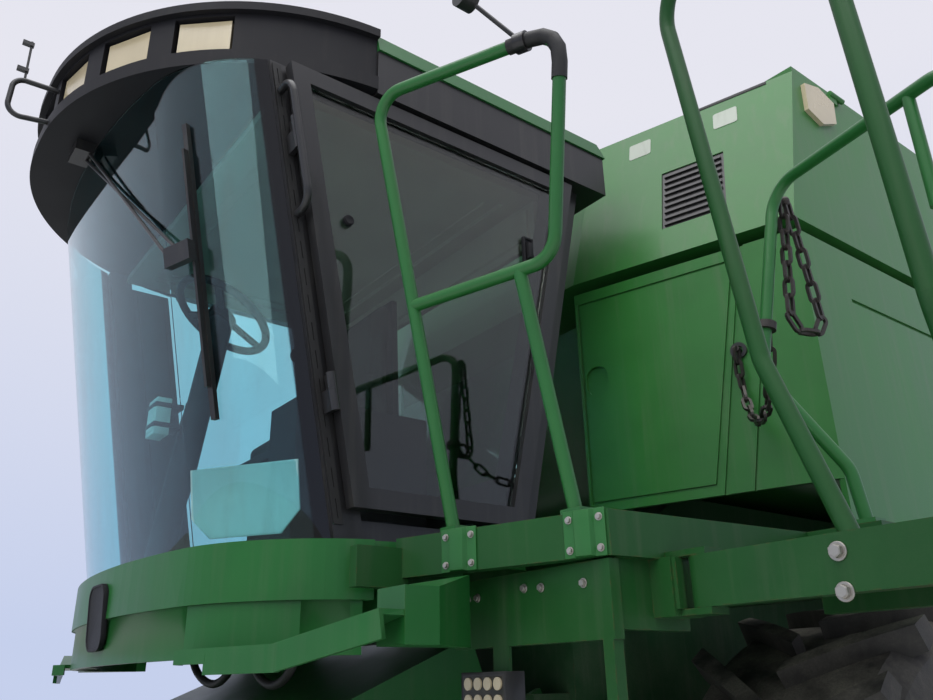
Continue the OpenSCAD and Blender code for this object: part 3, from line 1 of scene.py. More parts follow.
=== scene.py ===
# %% [markdown]
# # Combine harvester
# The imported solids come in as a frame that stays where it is. Each solid gets its finish here, and the
# small things that no solid carries, such as bolts, brackets, hoses and the seat's cushions, are modelled
# on top of it. Lengths are in metres. The machine stands on z = 0, its front looks along -Y, and its
# centre-plane lies at x = -0.350. Places are given from the centre-plane, from the skirt's front and from
# the floor, because that is how the machine was measured.

# %% Load the frame
import math

import bpy
from mathutils import Matrix, Vector


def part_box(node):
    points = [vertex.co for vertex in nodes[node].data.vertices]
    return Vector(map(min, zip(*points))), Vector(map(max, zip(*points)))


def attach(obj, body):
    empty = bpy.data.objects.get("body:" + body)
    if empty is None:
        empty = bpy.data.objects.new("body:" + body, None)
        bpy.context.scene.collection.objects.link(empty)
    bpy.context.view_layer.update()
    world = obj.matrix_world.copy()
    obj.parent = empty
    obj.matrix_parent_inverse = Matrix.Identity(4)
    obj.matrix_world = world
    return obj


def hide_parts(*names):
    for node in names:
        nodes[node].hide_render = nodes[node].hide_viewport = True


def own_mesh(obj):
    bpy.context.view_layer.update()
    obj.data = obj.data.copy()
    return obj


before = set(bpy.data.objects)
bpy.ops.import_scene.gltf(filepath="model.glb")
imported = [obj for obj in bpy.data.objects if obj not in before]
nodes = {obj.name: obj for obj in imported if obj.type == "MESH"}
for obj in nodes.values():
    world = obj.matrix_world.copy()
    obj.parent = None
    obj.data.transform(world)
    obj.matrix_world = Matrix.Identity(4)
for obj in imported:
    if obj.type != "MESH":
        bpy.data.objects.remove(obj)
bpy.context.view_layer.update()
MIDDLE_X = -0.350
CAB_Y = -3.60
DECK_Z = 1.95
SWEEP = math.radians(17.0)
LEAN = math.tan(math.radians(11.3))

# %% [markdown]
# ## Camera
# The picture was taken from the ground beside the front left corner, with the phone tilted up and
# turned a little. The camera stands there, at standing height, and has the same lens. Its axes are
# worked out from turn, pitch and roll and written as one matrix, so that no constraint is left on it.

# %% Camera
camera_data = bpy.data.cameras.new("photo_camera")
camera_data.sensor_width = 36.0
camera_data.lens = 31.83
camera_data.clip_end = 200.0
camera = bpy.data.objects.new("photo_camera", camera_data)
bpy.context.scene.collection.objects.link(camera)
EYE = (2.80 + MIDDLE_X, -4.30, 1.60)
turn, pitch, roll = math.radians(52.5), math.radians(22.0), math.radians(-1.2)
ahead = Vector((-math.sin(turn) * math.cos(pitch), math.cos(turn) * math.cos(pitch), math.sin(pitch)))
level = Vector((math.cos(turn), math.sin(turn), 0.0))
upright = level.cross(ahead)
right = math.cos(roll) * level + math.sin(roll) * upright
top = -math.sin(roll) * level + math.cos(roll) * upright
camera.matrix_world = Matrix((
    (right.x, top.x, -ahead.x, EYE[0]),
    (right.y, top.y, -ahead.y, EYE[1]),
    (right.z, top.z, -ahead.z, EYE[2]),
    (0.0, 0.0, 0.0, 1.0)))
bpy.context.scene.camera = camera
bpy.context.scene.view_settings.view_transform = "Standard"
print("camera at", tuple(round(v, 3) for v in camera.location))

# %% [markdown]
# ## Floor and light
# The machine stands on pale, matt ground under an overcast sky. One wide soft lamp hangs above, and a
# weaker one in front leaves no mirror image in the glass. A sky texture would light the machine too, but
# plain lamps keep the colours as they are written.

# %% Floor
bpy.ops.object.select_all(action="DESELECT")
bpy.ops.mesh.primitive_plane_add(size=90.0, location=(0.0, 0.0, 0.0))
floor = bpy.context.object
floor.name = "floor"
floor_paint = bpy.data.materials.new("pale_floor")
floor_paint.use_nodes = True
floor_shader = floor_paint.node_tree.nodes["Principled BSDF"]
floor_shader.inputs["Base Color"].default_value = (0.74, 0.75, 0.77, 1.0)
floor_shader.inputs["Roughness"].default_value = 0.9
floor.data.materials.append(floor_paint)
print("floor ready")

# %% Lamps
def soft_lamp(name, place, target, size, power):
    light = bpy.data.lights.new(name, "AREA")
    light.shape = "SQUARE"
    light.size = size
    light.energy = power
    lamp = bpy.data.objects.new(name, light)
    bpy.context.scene.collection.objects.link(lamp)
    lamp.location = place
    lamp.rotation_euler = (Vector(target) - Vector(place)).to_track_quat("-Z", "Y").to_euler()
    return lamp


soft_lamp("sky_lamp", (3.0, -5.0, 13.0), (0.0, 0.0, 1.5), 12.0, 1150.0)
front_lamp = soft_lamp("front_lamp", (5.0, -14.0, 7.0), (0.0, -2.0, 2.8), 7.0, 640.0)
front_lamp.visible_glossy = False
print("two soft lamps")

# %% [markdown]
# ### Sky
# The sky has two parts, and the kind of ray chooses between them. One only lights the scene and is plain.
# The other is what the camera and the glass see, and it gets paler as it rises.

# %% Sky
world = bpy.data.worlds.new("overcast")
bpy.context.scene.world = world
world.use_nodes = True
sky = world.node_tree
sky.nodes.clear()
path = sky.nodes.new("ShaderNodeLightPath")
seen = sky.nodes.new("ShaderNodeMath")
seen.operation = "MAXIMUM"
seen_through = sky.nodes.new("ShaderNodeMath")
seen_through.operation = "MAXIMUM"
sky.links.new(path.outputs["Is Camera Ray"], seen.inputs[0])
sky.links.new(path.outputs["Is Glossy Ray"], seen.inputs[1])
sky.links.new(seen.outputs[0], seen_through.inputs[0])
sky.links.new(path.outputs["Is Transmission Ray"], seen_through.inputs[1])
lighting = sky.nodes.new("ShaderNodeBackground")
lighting.inputs["Color"].default_value = (0.84, 0.85, 0.87, 1.0)
lighting.inputs["Strength"].default_value = 0.62
looked_at = sky.nodes.new("ShaderNodeBackground")
direction = sky.nodes.new("ShaderNodeTexCoord")
parts = sky.nodes.new("ShaderNodeSeparateXYZ")
rise = sky.nodes.new("ShaderNodeMapRange")
rise.inputs["From Min"].default_value = 0.05
rise.inputs["From Max"].default_value = 0.60
shade = sky.nodes.new("ShaderNodeMix")
shade.data_type = "RGBA"
shade.inputs[6].default_value = (0.56, 0.63, 0.84, 1.0)
shade.inputs[7].default_value = (0.79, 0.79, 0.87, 1.0)
sky.links.new(direction.outputs["Generated"], parts.inputs[0])
sky.links.new(parts.outputs["Z"], rise.inputs["Value"])
sky.links.new(rise.outputs["Result"], shade.inputs[0])
sky.links.new(shade.outputs[2], looked_at.inputs["Color"])
looked_at.inputs["Strength"].default_value = 1.0
choose = sky.nodes.new("ShaderNodeMixShader")
sky_out = sky.nodes.new("ShaderNodeOutputWorld")
sky.links.new(seen_through.outputs[0], choose.inputs["Fac"])
sky.links.new(lighting.outputs[0], choose.inputs[1])
sky.links.new(looked_at.outputs[0], choose.inputs[2])
sky.links.new(choose.outputs[0], sky_out.inputs["Surface"])
print("overcast sky")

# %% [markdown]
# ## Shared weathering
# Paint, rubber and plastic on a field machine age in the same few ways: the tone drifts over a panel,
# dust settles low down and on level faces, rain draws streaks, and handled edges chip. Painted pictures
# could show it, but they would need an unwrapped mesh. One node group makes these masks from object
# coordinates instead, so that a grain of dust has its real size on each piece, and each material then
# chooses how much of each it takes. The short helpers below keep the node trees readable.

# %% Node helpers
def add_node(tree, kind, **values):
    made = tree.nodes.new(kind)
    for key, value in values.items():
        if key in made.inputs:
            made.inputs[key].default_value = value
        else:
            setattr(made, key, value)
    return made


def noise(tree, vector, scale, detail=3.0, rough=0.55):
    made = add_node(tree, "ShaderNodeTexNoise", Scale=scale, Detail=detail, Roughness=rough)
    tree.links.new(vector, made.inputs["Vector"])
    return made.outputs["Fac"]


def stretch(tree, vector, x, y, z):
    made = add_node(tree, "ShaderNodeMapping")
    made.inputs["Scale"].default_value = (x, y, z)
    tree.links.new(vector, made.inputs["Vector"])
    return made.outputs["Vector"]


def span(tree, value, low, high, to_low=0.0, to_high=1.0):
    made = add_node(tree, "ShaderNodeMapRange")
    made.inputs["From Min"].default_value = low
    made.inputs["From Max"].default_value = high
    made.inputs["To Min"].default_value = to_low
    made.inputs["To Max"].default_value = to_high
    tree.links.new(value, made.inputs["Value"])
    return made.outputs["Result"]


def calc(tree, operation, first, second):
    made = add_node(tree, "ShaderNodeMath", operation=operation)
    for socket, value in zip(made.inputs, (first, second)):
        if isinstance(value, (int, float)):
            socket.default_value = value
        else:
            tree.links.new(value, socket)
    return made.outputs[0]


def blend_color(tree, factor, first, second):
    made = add_node(tree, "ShaderNodeMix", data_type="RGBA")
    for socket, value in ((made.inputs[0], factor), (made.inputs[6], first), (made.inputs[7], second)):
        if isinstance(value, (int, float, tuple)):
            socket.default_value = value
        else:
            tree.links.new(value, socket)
    return made.outputs[2]


def new_group(name, inputs, outputs):
    group = bpy.data.node_groups.new(name, "ShaderNodeTree")
    for label, kind, start in inputs:
        socket = group.interface.new_socket(name=label, in_out="INPUT", socket_type=kind)
        socket.default_value = start
    for label, kind in outputs:
        group.interface.new_socket(name=label, in_out="OUTPUT", socket_type=kind)
    return group, add_node(group, "NodeGroupInput"), add_node(group, "NodeGroupOutput")


print("node helpers ready")

# %% Weathering group
weather, weather_in, weather_out = new_group(
    "weathering",
    [("Dust", "NodeSocketFloat", 0.4), ("Streaks", "NodeSocketFloat", 0.4), ("Chips", "NodeSocketFloat", 0.3),
     ("Edge", "NodeSocketFloat", 0.006)],
    [("Tone", "NodeSocketFloat"), ("Dust", "NodeSocketFloat"), ("Streaks", "NodeSocketFloat"),
     ("Chips", "NodeSocketFloat"), ("Peel", "NodeSocketFloat")])
here = add_node(weather, "ShaderNodeTexCoord").outputs["Object"]
surface = add_node(weather, "ShaderNodeNewGeometry")
looks = add_node(weather, "ShaderNodeSeparateXYZ")
weather.links.new(surface.outputs["Normal"], looks.inputs[0])
height = add_node(weather, "ShaderNodeSeparateXYZ")
weather.links.new(here, height.inputs[0])


def both(first, second):
    return calc(weather, "MULTIPLY", first, second)


def give(mask, label, amount=None):
    """Sends a mask out of the group, weakened by one of the group's inputs."""
    if amount:
        mask = both(mask, weather_in.outputs[amount])
    weather.links.new(mask, weather_out.inputs[label])


# The tone drifts slowly over a panel.
tone = calc(weather, "ADD", both(noise(weather, here, 0.9), 0.6), both(noise(weather, here, 5.0), 0.4))
give(span(weather, tone, 0.3, 0.7), "Tone")

# Dust lies on what faces up and on what is low, in patches of fine specks.
up_facing = span(weather, looks.outputs["Z"], 0.35, 0.95)
low_down = span(weather, height.outputs["Z"], 2.1, 0.3)
settled = calc(weather, "MAXIMUM", up_facing, both(low_down, 0.8))
patchy = span(weather, noise(weather, here, 7.0, 6.0, 0.65), 0.38, 0.62)
speckled = span(weather, noise(weather, here, 160.0, 2.0), 0.35, 0.7, 0.55, 1.0)
give(both(both(calc(weather, "ADD", settled, 0.05), patchy), speckled), "Dust", "Dust")

# Rain runs down upright faces.
runs = noise(weather, stretch(weather, here, 26.0, 26.0, 1.3), 1.0, 4.0)
upright_face = span(weather, calc(weather, "ABSOLUTE", looks.outputs["Z"], 0.0), 0.7, 0.2)
give(both(span(weather, runs, 0.52, 0.72), upright_face), "Streaks", "Streaks")

# Paint breaks off along edges, where the bevelled normal turns away, and in a few spots.
bevel = add_node(weather, "ShaderNodeBevel")
bevel.samples = 4
weather.links.new(weather_in.outputs["Edge"], bevel.inputs["Radius"])
turned = add_node(weather, "ShaderNodeVectorMath", operation="DOT_PRODUCT")
weather.links.new(bevel.outputs["Normal"], turned.inputs[0])
weather.links.new(surface.outputs["Normal"], turned.inputs[1])
at_edge = span(weather, turned.outputs["Value"], 0.995, 0.80)
broken = span(weather, noise(weather, here, 38.0, 5.0, 0.7), 0.50, 0.58)
spots = span(weather, noise(weather, here, 21.0, 6.0, 0.75), 0.70, 0.73)
give(calc(weather, "MAXIMUM", both(at_edge, broken), spots), "Chips", "Chips")

# The fine ripple of sprayed paint.
give(noise(weather, here, 420.0, 2.0), "Peel")
print("weathering group:", len(weather.nodes), "nodes")

# %% [markdown]
# ## Finishes
# Each finish is one Principled shader. Its base colour starts from the real paint or rubber, drifts a
# little with the tone mask, and is covered by dust, streaks and chips. Roughness follows the same
# masks, and a fine bump gives paint its orange peel, plastic its grain and castings their sand skin.
# One function makes them all, because only the colour and the amounts differ from paint to paint.

# %% Finish maker
DUST = (0.20, 0.19, 0.16, 1.0)
RUST = (0.10, 0.045, 0.020, 1.0)
STREAK_COVER = 0.45
WORN_ROUGH = 0.85
ROUGH_DRIFT = 0.14


def darker(color, factor):
    return tuple(c * factor for c in color[:3]) + (1.0,)


def finish(name, color, rough=0.4, metal=0.0, coat=0.0, dust=0.4, streaks=0.4, chips=0.3, edge=0.006,
           under=RUST, bump=0.15, depth=0.001, grain=None, spread=0.18, gloss=0.5):
    material = bpy.data.materials.new(name)
    material.use_nodes = True
    tree = material.node_tree
    shader = tree.nodes["Principled BSDF"]
    aged = add_node(tree, "ShaderNodeGroup", node_tree=weather)
    aged.inputs["Dust"].default_value = dust
    aged.inputs["Streaks"].default_value = streaks
    aged.inputs["Chips"].default_value = chips
    aged.inputs["Edge"].default_value = edge
    base = blend_color(tree, aged.outputs["Tone"], darker(color, 1.0 - spread), darker(color, 1.0 + spread))
    washed = calc(tree, "MULTIPLY", aged.outputs["Streaks"], STREAK_COVER)
    streaked = blend_color(tree, washed, base, darker(DUST, 0.7))
    dusty = blend_color(tree, aged.outputs["Dust"], streaked, DUST)
    chipped = blend_color(tree, aged.outputs["Chips"], dusty, under)
    tree.links.new(chipped, shader.inputs["Base Color"])
    worn = calc(tree, "MAXIMUM", aged.outputs["Dust"], aged.outputs["Chips"])
    roughness = span(tree, worn, 0.0, 1.0, rough, WORN_ROUGH)
    drift = calc(tree, "MULTIPLY", calc(tree, "SUBTRACT", aged.outputs["Tone"], 0.5), ROUGH_DRIFT)
    tree.links.new(calc(tree, "ADD", roughness, drift), shader.inputs["Roughness"])
    shader.inputs["Metallic"].default_value = metal
    shader.inputs["Specular IOR Level"].default_value = gloss
    shader.inputs["Coat Weight"].default_value = coat
    shader.inputs["Coat Roughness"].default_value = 0.12
    raised = add_node(tree, "ShaderNodeBump", Strength=bump, Distance=depth)
    skin = aged.outputs["Peel"]
    if grain:
        where = add_node(tree, "ShaderNodeTexCoord").outputs["Object"]
        skin = noise(tree, where, grain, 3.0, 0.6)
    relief = calc(tree, "SUBTRACT", skin, calc(tree, "MULTIPLY", aged.outputs["Chips"], 0.8))
    tree.links.new(relief, raised.inputs["Height"])
    tree.links.new(raised.outputs["Normal"], shader.inputs["Normal"])
    return material


print("finish maker ready")

# %% [markdown]
# ### Paints
# The shell's paint is smooth and takes the sky, the deck and ladder are walked on and chip, the tubes
# are handled, and the frame below stays dull and dusty. The deck and ladder also carry painted shade: their
# green is darker than the same paint elsewhere, so that their lit front faces stay dim. The rims are yellow.

# %% Paints
green_paint = finish("green_paint", (0.010, 0.094, 0.019), rough=0.38, coat=0.06, dust=0.10, streaks=0.20,
                     chips=0.12, gloss=0.28)
green_shell = finish("green_shell_paint", (0.020, 0.130, 0.022), rough=0.38, coat=0.08, dust=0.25,
                     streaks=0.35, chips=0.12, gloss=0.42)
green_tube = finish("green_tube_paint", (0.012, 0.105, 0.020), rough=0.38, coat=0.12, dust=0.15,
                    streaks=0.10, chips=0.30, edge=0.003, gloss=0.4)
# Painted shade: the deck's green is darker than the machine's other green paint, so that the lamp-lit front
# beams stay dim.
deck_green_with_painted_shade = finish("deck_green_paint_with_painted_shade", (0.007, 0.058, 0.011), rough=0.46, coat=0.04, dust=0.14,
                    streaks=0.20, chips=0.40, gloss=0.28)
green_frame = finish("green_frame_paint", (0.006, 0.045, 0.012), rough=0.55, dust=0.5, streaks=0.3,
                     chips=0.4, gloss=0.3)
yellow_paint = finish("yellow_rim_paint", (0.60, 0.34, 0.010), rough=0.42, coat=0.12, dust=0.6,
                      streaks=0.5, chips=0.45)
black_paint = finish("black_paint", (0.011, 0.011, 0.012), rough=0.34, coat=0.1, dust=0.14, streaks=0.2,
                     chips=0.2, edge=0.003, gloss=0.45)
engine_paint = finish("engine_paint", (0.045, 0.050, 0.050), rough=0.5, metal=0.3, dust=0.6, streaks=0.5,
                      chips=0.3, grain=160.0, bump=0.4)
print("paints ready")

# %% [markdown]
# ### Plastics, rubbers and metals
# Moulded plastic and rubber have a grain of their own instead of the paint's ripple, and nothing chips
# off them. Bare steel is metallic; the rods are polished and the exhaust is scaled by heat.

# %% Plastics, rubbers and metals
black_plastic = finish("black_plastic", (0.009, 0.009, 0.011), rough=0.56, dust=0.05, streaks=0.08,
                       chips=0.0, bump=0.35, depth=0.0006, grain=900.0, under=(0.05, 0.05, 0.05, 1.0),
                       gloss=0.20)
tank_plastic = finish("tank_plastic", (0.020, 0.020, 0.021), rough=0.5, dust=0.45, streaks=0.35, chips=0.0,
                      bump=0.3, grain=350.0, under=(0.04, 0.04, 0.04, 1.0))
rubber = finish("seal_rubber", (0.008, 0.008, 0.008), rough=0.6, dust=0.25, streaks=0.1, chips=0.0,
                grain=500.0, bump=0.3, under=(0.02, 0.02, 0.02, 1.0))
tyre_rubber = finish("tyre_rubber", (0.020, 0.019, 0.018), rough=0.72, dust=0.85, streaks=0.4, chips=0.0,
                     bump=0.5, depth=0.0015, grain=260.0, under=(0.03, 0.03, 0.03, 1.0))
dark_steel = finish("dark_steel", (0.050, 0.046, 0.043), rough=0.5, metal=0.75, dust=0.35, streaks=0.2,
                    chips=0.55, edge=0.003)
bright_steel = finish("bright_steel", (0.55, 0.55, 0.54), rough=0.22, metal=1.0, dust=0.15, streaks=0.1,
                      chips=0.0, bump=0.05)
exhaust_steel = finish("exhaust_steel", (0.16, 0.10, 0.075), rough=0.6, metal=0.6, dust=0.3, streaks=0.6,
                       chips=0.7)
print("materials so far:", len(bpy.data.materials))

# %% [markdown]
# ### Glass and lenses
# The cab's panes are tinted and carry a film of dirt that rain has drawn downwards, and the windscreen
# has a black printed edge. Clear glass keeps a plain metallic and transmission value, so only its colour
# and roughness vary. The lamps are closed by a cream lens, which is a finish like the others.

# %% Glass and lenses
FILM = (0.50, 0.56, 0.54, 1.0)
PRINTED_EDGE = (0.004, 0.004, 0.005, 1.0)
EDGE_BLUR = 0.003


def cab_glass(name, tint, dirt, edge_x=None):
    """Tinted glass. edge_x is where the black edge starts, on both sides of the centre-plane."""
    material = bpy.data.materials.new(name)
    material.use_nodes = True
    tree = material.node_tree
    shader = tree.nodes["Principled BSDF"]
    where = add_node(tree, "ShaderNodeTexCoord").outputs["Object"]
    smear = span(tree, noise(tree, stretch(tree, where, 3.0, 3.0, 0.5), 1.6, 5.0, 0.6), 0.40, 0.75)
    rubbed = span(tree, noise(tree, stretch(tree, where, 9.0, 9.0, 0.7), 1.0, 4.0, 0.7), 0.55, 0.8)
    film = calc(tree, "MULTIPLY", calc(tree, "ADD", smear, rubbed), dirt)
    color = blend_color(tree, film, tint, FILM)
    if edge_x:
        parts = add_node(tree, "ShaderNodeSeparateXYZ")
        tree.links.new(where, parts.inputs[0])
        sideways = calc(tree, "ABSOLUTE", calc(tree, "SUBTRACT", parts.outputs["X"], MIDDLE_X), 0.0)
        band = span(tree, sideways, edge_x, edge_x + EDGE_BLUR)
        color = blend_color(tree, band, color, PRINTED_EDGE)
    tree.links.new(color, shader.inputs["Base Color"])
    tree.links.new(span(tree, film, 0.0, 1.0, 0.0, 0.015), shader.inputs["Roughness"])
    shader.inputs["Metallic"].default_value = 0.0
    shader.inputs["Transmission Weight"].default_value = 1.0
    shader.inputs["IOR"].default_value = 1.45
    return material


screen_glass = cab_glass("screen_glass", (0.44, 0.81, 0.84, 1.0), 0.30, edge_x=0.842)
right_glass = cab_glass("right_glass", (0.62, 0.88, 0.90, 1.0), 0.25)
door_pane = cab_glass("door_pane", (0.56, 0.61, 0.54, 1.0), 0.40)
lens = finish("lamp_lens", (0.42, 0.36, 0.24), rough=0.22, coat=0.5, dust=0.15, streaks=0.2, chips=0.0,
              bump=0.3)
print("glass and lenses ready")

# %% [markdown]
# ### Finishes of the solids
# Each solid takes one finish. A solid's mesh is left as it is, and only its material is set.

# %% Finishes of the solids
FINISHES = (
    (green_paint, ("cab_base", "cab_roof", "auger_base", "feeder_house")),
    (green_shell, ("body_panels", "grain_tank", "engine_hood", "straw_hood", "tank_cover_left",
                   "tank_cover_right", "unload_auger")),
    (green_frame, ("chassis", "front_axle", "rear_axle", "threshing_body", "knuckle_left", "knuckle_right")),
    (green_tube, ("handrails",)),
    (deck_green_with_painted_shade, ("platform", "ladder")),
    (black_plastic, ("cab_visor", "controls")),
    (black_paint, ("cab_frame", "door_frame", "cab_fittings", "radiator_screen")),
    (tank_plastic, ("fuel_tank", "seat")),
    (engine_paint, ("engine",)),
    (exhaust_steel, ("exhaust",)),
    (dark_steel, ("safety_chains", "feeder_chain", "tie_rod", "lift_barrels")),
    (bright_steel, ("lift_rods",)),
    (tyre_rubber, ("front_tyre_left", "front_tyre_right", "rear_tyre_left", "rear_tyre_right")),
    (yellow_paint, ("front_rim_left", "front_rim_right", "rear_rim_left", "rear_rim_right")),
    (screen_glass, ("windscreen",)),
    (right_glass, ("cab_glass",)),
    (door_pane, ("door_glass",)),
    (lens, ("work_lamps",)),
)
for material, members in FINISHES:
    for member in members:
        shape = nodes[member].data
        shape.materials.clear()
        shape.materials.append(material)
print("solids with a finish:", sum(len(members) for _, members in FINISHES))

# %% [markdown]
# ## Tools for the small pieces
# Each small piece starts as a primitive at its place and is then shaped with edit-mode operators. Faces
# are picked by their centre and normal. What repeats is shaped once at the origin and copied, each copy
# with its own mesh, and the copies are joined into one piece. Lists of points would make the same shapes,
# but they wouldn't show how a piece comes about.

# %% Starting a piece
def deselect():
    if bpy.context.object and bpy.context.object.mode != "OBJECT":
        bpy.ops.object.mode_set(mode="OBJECT")
    bpy.ops.object.select_all(action="DESELECT")


def only(piece):
    deselect()
    piece.select_set(True)
    bpy.context.view_layer.objects.active = piece


def at(x, y, z):
    """A point given from the centre-plane, behind the cab's front, and above the floor."""
    return Vector((x + MIDDLE_X, y + CAB_Y, z))


def place_here():
    """Writes the place, the turn and the size of the chosen pieces into their meshes."""
    bpy.ops.object.transform_apply(location=True, rotation=True, scale=True)


def start_block(name, low, high):
    deselect()
    bpy.ops.mesh.primitive_cube_add(size=1.0, location=[(a + b) / 2 for a, b in zip(low, high)],
                                    scale=[b - a for a, b in zip(low, high)])
    place_here()
    bpy.context.object.name = name
    return bpy.context.object


def start_disc(name, place, radius, height, axis=(0.0, 0.0, 1.0), sides=24):
    deselect()
    bpy.ops.mesh.primitive_cylinder_add(vertices=sides, radius=radius, depth=height, location=place,
                                        rotation=Vector(axis).to_track_quat("Z", "Y").to_euler())
    place_here()
    bpy.context.object.name = name
    return bpy.context.object


print("pieces can be started")

# %% Shaping its faces and edges
def faces_left(centre, normal):
    return normal.x > 0.9


def faces_front(centre, normal):
    return normal.y < -0.9


def faces_up(centre, normal):
    return normal.z > 0.9


def faces_down(centre, normal):
    return normal.z < -0.9


def shape_faces(piece, chosen, *steps):
    """Selects the faces that are chosen by their centre and normal, and does the steps with them."""
    only(piece)
    bpy.ops.object.mode_set(mode="EDIT")
    bpy.ops.mesh.select_mode(type="FACE")
    bpy.ops.mesh.select_all(action="DESELECT")
    bpy.ops.object.mode_set(mode="OBJECT")
    for face in piece.data.polygons:
        face.select = chosen(face.center, face.normal)
    bpy.ops.object.mode_set(mode="EDIT")
    for step in steps:
        step()
    bpy.ops.object.mode_set(mode="OBJECT")


def runs_along_y(a, b):
    return abs(a.x - b.x) < 0.001 and abs(a.z - b.z) < 0.001


def runs_along_z(a, b):
    return abs(a.x - b.x) < 0.001 and abs(a.y - b.y) < 0.001


def cut_corners(piece, chosen, width, segments=1):
    """Bevels the edges whose two ends are chosen."""
    only(piece)
    bpy.ops.object.mode_set(mode="EDIT")
    bpy.ops.mesh.select_mode(type="EDGE")
    bpy.ops.mesh.select_all(action="DESELECT")
    bpy.ops.object.mode_set(mode="OBJECT")
    knots = piece.data.vertices
    for edge in piece.data.edges:
        edge.select = chosen(knots[edge.vertices[0]].co, knots[edge.vertices[1]].co)
    bpy.ops.object.mode_set(mode="EDIT")
    bpy.ops.mesh.bevel(offset=width, segments=segments, affect="EDGES")
    bpy.ops.object.mode_set(mode="OBJECT")


def merge_doubles(piece):
    only(piece)
    bpy.ops.object.mode_set(mode="EDIT")
    bpy.ops.mesh.select_all(action="SELECT")
    bpy.ops.mesh.remove_doubles(threshold=0.0001)
    bpy.ops.object.mode_set(mode="OBJECT")


def inset(width):
    return lambda: bpy.ops.mesh.inset(thickness=width, depth=0.0)


def push(x, y, z):
    return lambda: bpy.ops.mesh.extrude_region_move(TRANSFORM_OT_translate={"value": (x, y, z)})


def resize(x, y, z):
    return lambda: bpy.ops.transform.resize(value=(x, y, z))


print("pieces can be shaped")

# %% Finishing and copying it
def settle(piece, body, material, bevel=0.0, segments=2, smooth=35.0):
    """Rounds a piece's edges, shades it, and gives it its finish and the body that it rides on."""
    only(piece)
    if bevel:
        edges = piece.modifiers.new("edges", "BEVEL")
        edges.width, edges.segments, edges.limit_method = bevel, segments, "ANGLE"
        edges.angle_limit = math.radians(28.0)
        bpy.ops.object.modifier_apply(modifier=edges.name)
    place_here()
    bpy.ops.object.shade_smooth_by_angle(angle=math.radians(smooth))
    piece.data.materials.clear()
    piece.data.materials.append(material)
    if body:
        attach(piece, body)
    return piece


def facing(place, normal):
    """The placement that stands a shape's Z axis on a surface."""
    return Matrix.Translation(place) @ Vector(normal).to_track_quat("Z", "Y").to_matrix().to_4x4()


def framed(origin, x_axis, y_axis, z_axis):
    """The placement with these three axes at a point."""
    return Matrix.Translation(origin) @ Matrix((x_axis, y_axis, z_axis)).transposed().to_4x4()


def repeat(pattern, places, name, body):
    """Copies a pattern to every place, joins the copies into one piece and drops the pattern."""
    material = pattern.data.materials[0]
    twins = []
    for place in places:
        twin = pattern.copy()
        twin.data = pattern.data.copy()
        twin.matrix_world = place
        bpy.context.scene.collection.objects.link(twin)
        twins.append(twin)
    bpy.data.objects.remove(pattern)
    deselect()
    for twin in twins:
        twin.select_set(True)
    bpy.context.view_layer.objects.active = twins[0]
    if len(twins) > 1:
        bpy.ops.object.join()
    place_here()
    twins[0].name = name
    twins[0].data.materials.clear()
    twins[0].data.materials.append(material)
    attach(twins[0], body)
    return twins[0]


def merge(name, *pieces):
    deselect()
    for piece in pieces:
        piece.select_set(True)
    bpy.context.view_layer.objects.active = pieces[0]
    bpy.ops.object.join()
    pieces[0].name = name
    return pieces[0]


print("pieces can be finished, repeated and merged")

# %% Bent rods
BEND_STEPS = 4


def bent_rod(name, points, radius, rounds):
    """A rod along points, as a mesh. Corners are rounded as far from them as rounds says."""
    line = bpy.data.curves.new(name, "CURVE")
    line.dimensions = "3D"
    path_points = []
    for i, point in enumerate(points):
        if 0 < i < len(points) - 1 and rounds:
            before = (points[i - 1] - point).normalized()
            after = (points[i + 1] - point).normalized()
            for k in range(BEND_STEPS + 1):
                t = k / BEND_STEPS
                path_points.append(point + before * rounds * (1 - t) ** 2 + after * rounds * t ** 2)
        else:
            path_points.append(point)
    spline = line.splines.new("POLY")
    spline.points.add(len(path_points) - 1)
    for knot, point in zip(spline.points, path_points):
        knot.co = (*point, 1.0)
    line.bevel_depth = radius
    line.bevel_resolution = 4
    line.use_fill_caps = True
    rod = bpy.data.objects.new(name, line)
    bpy.context.scene.collection.objects.link(rod)
    only(rod)
    bpy.ops.object.convert(target="MESH")
    return bpy.context.object


print("rods can be bent")

# %% [markdown]
# ## Bolts
# A bolt head is a six-sided prism with a chamfered top on a thin washer. Two sizes hold this machine
# together: large ones through the landing's beam, and small ones at the feet of the handrail and under
# the platform. The shape is made once for a given width and repeated.

# %% Bolts
zinc = finish("zinc", (0.42, 0.40, 0.36), rough=0.38, metal=0.9, dust=0.45, streaks=0.1, chips=0.5,
              edge=0.001)
FRONTWARD = (0.0, -1.0, 0.0)
BEAM_OUT = (math.sin(SWEEP), -math.cos(SWEEP), 0.0)


def bolt_pattern(width):
    """A bolt at the origin that points along Z, as wide across its corners as given."""
    washer = start_disc("washer", (0.0, 0.0, width * 0.06), width * 0.68, width * 0.12)
    shape_faces(washer, faces_up, inset(width * 0.03), push(0.0, 0.0, width * 0.02))
    head = start_disc("head", (0.0, 0.0, width * 0.32), width * 0.5, width * 0.42, sides=6)
    shape_faces(head, faces_up, inset(width * 0.06), push(0.0, 0.0, width * 0.05))
    return settle(merge("bolt", washer, head), None, zinc, bevel=width * 0.02, segments=1)


landing_spots = [facing(at(1.970, 0.7995, z), FRONTWARD) for z in (1.742, 1.815)]
repeat(bolt_pattern(0.027), landing_spots, "landing_bolts", "ladder")
apron_spots = [facing(at(x, 0.6395, z), FRONTWARD)
               for x, z in ((1.04, 1.80), (1.08, 1.80), (1.261, 1.807), (1.321, 1.803), (1.46, 1.80))]
repeat(bolt_pattern(0.016), apron_spots, "apron_bolts", "machine")
print("bolts:", len(landing_spots), "on the landing and", len(apron_spots), "on the apron")

# %% [markdown]
# ## Wheel nuts
# Ten nuts hold each rim to its hub. The rim's box gives its middle, and the nuts stand on the disc in a
# ring around it. Each ring turns with its wheel.

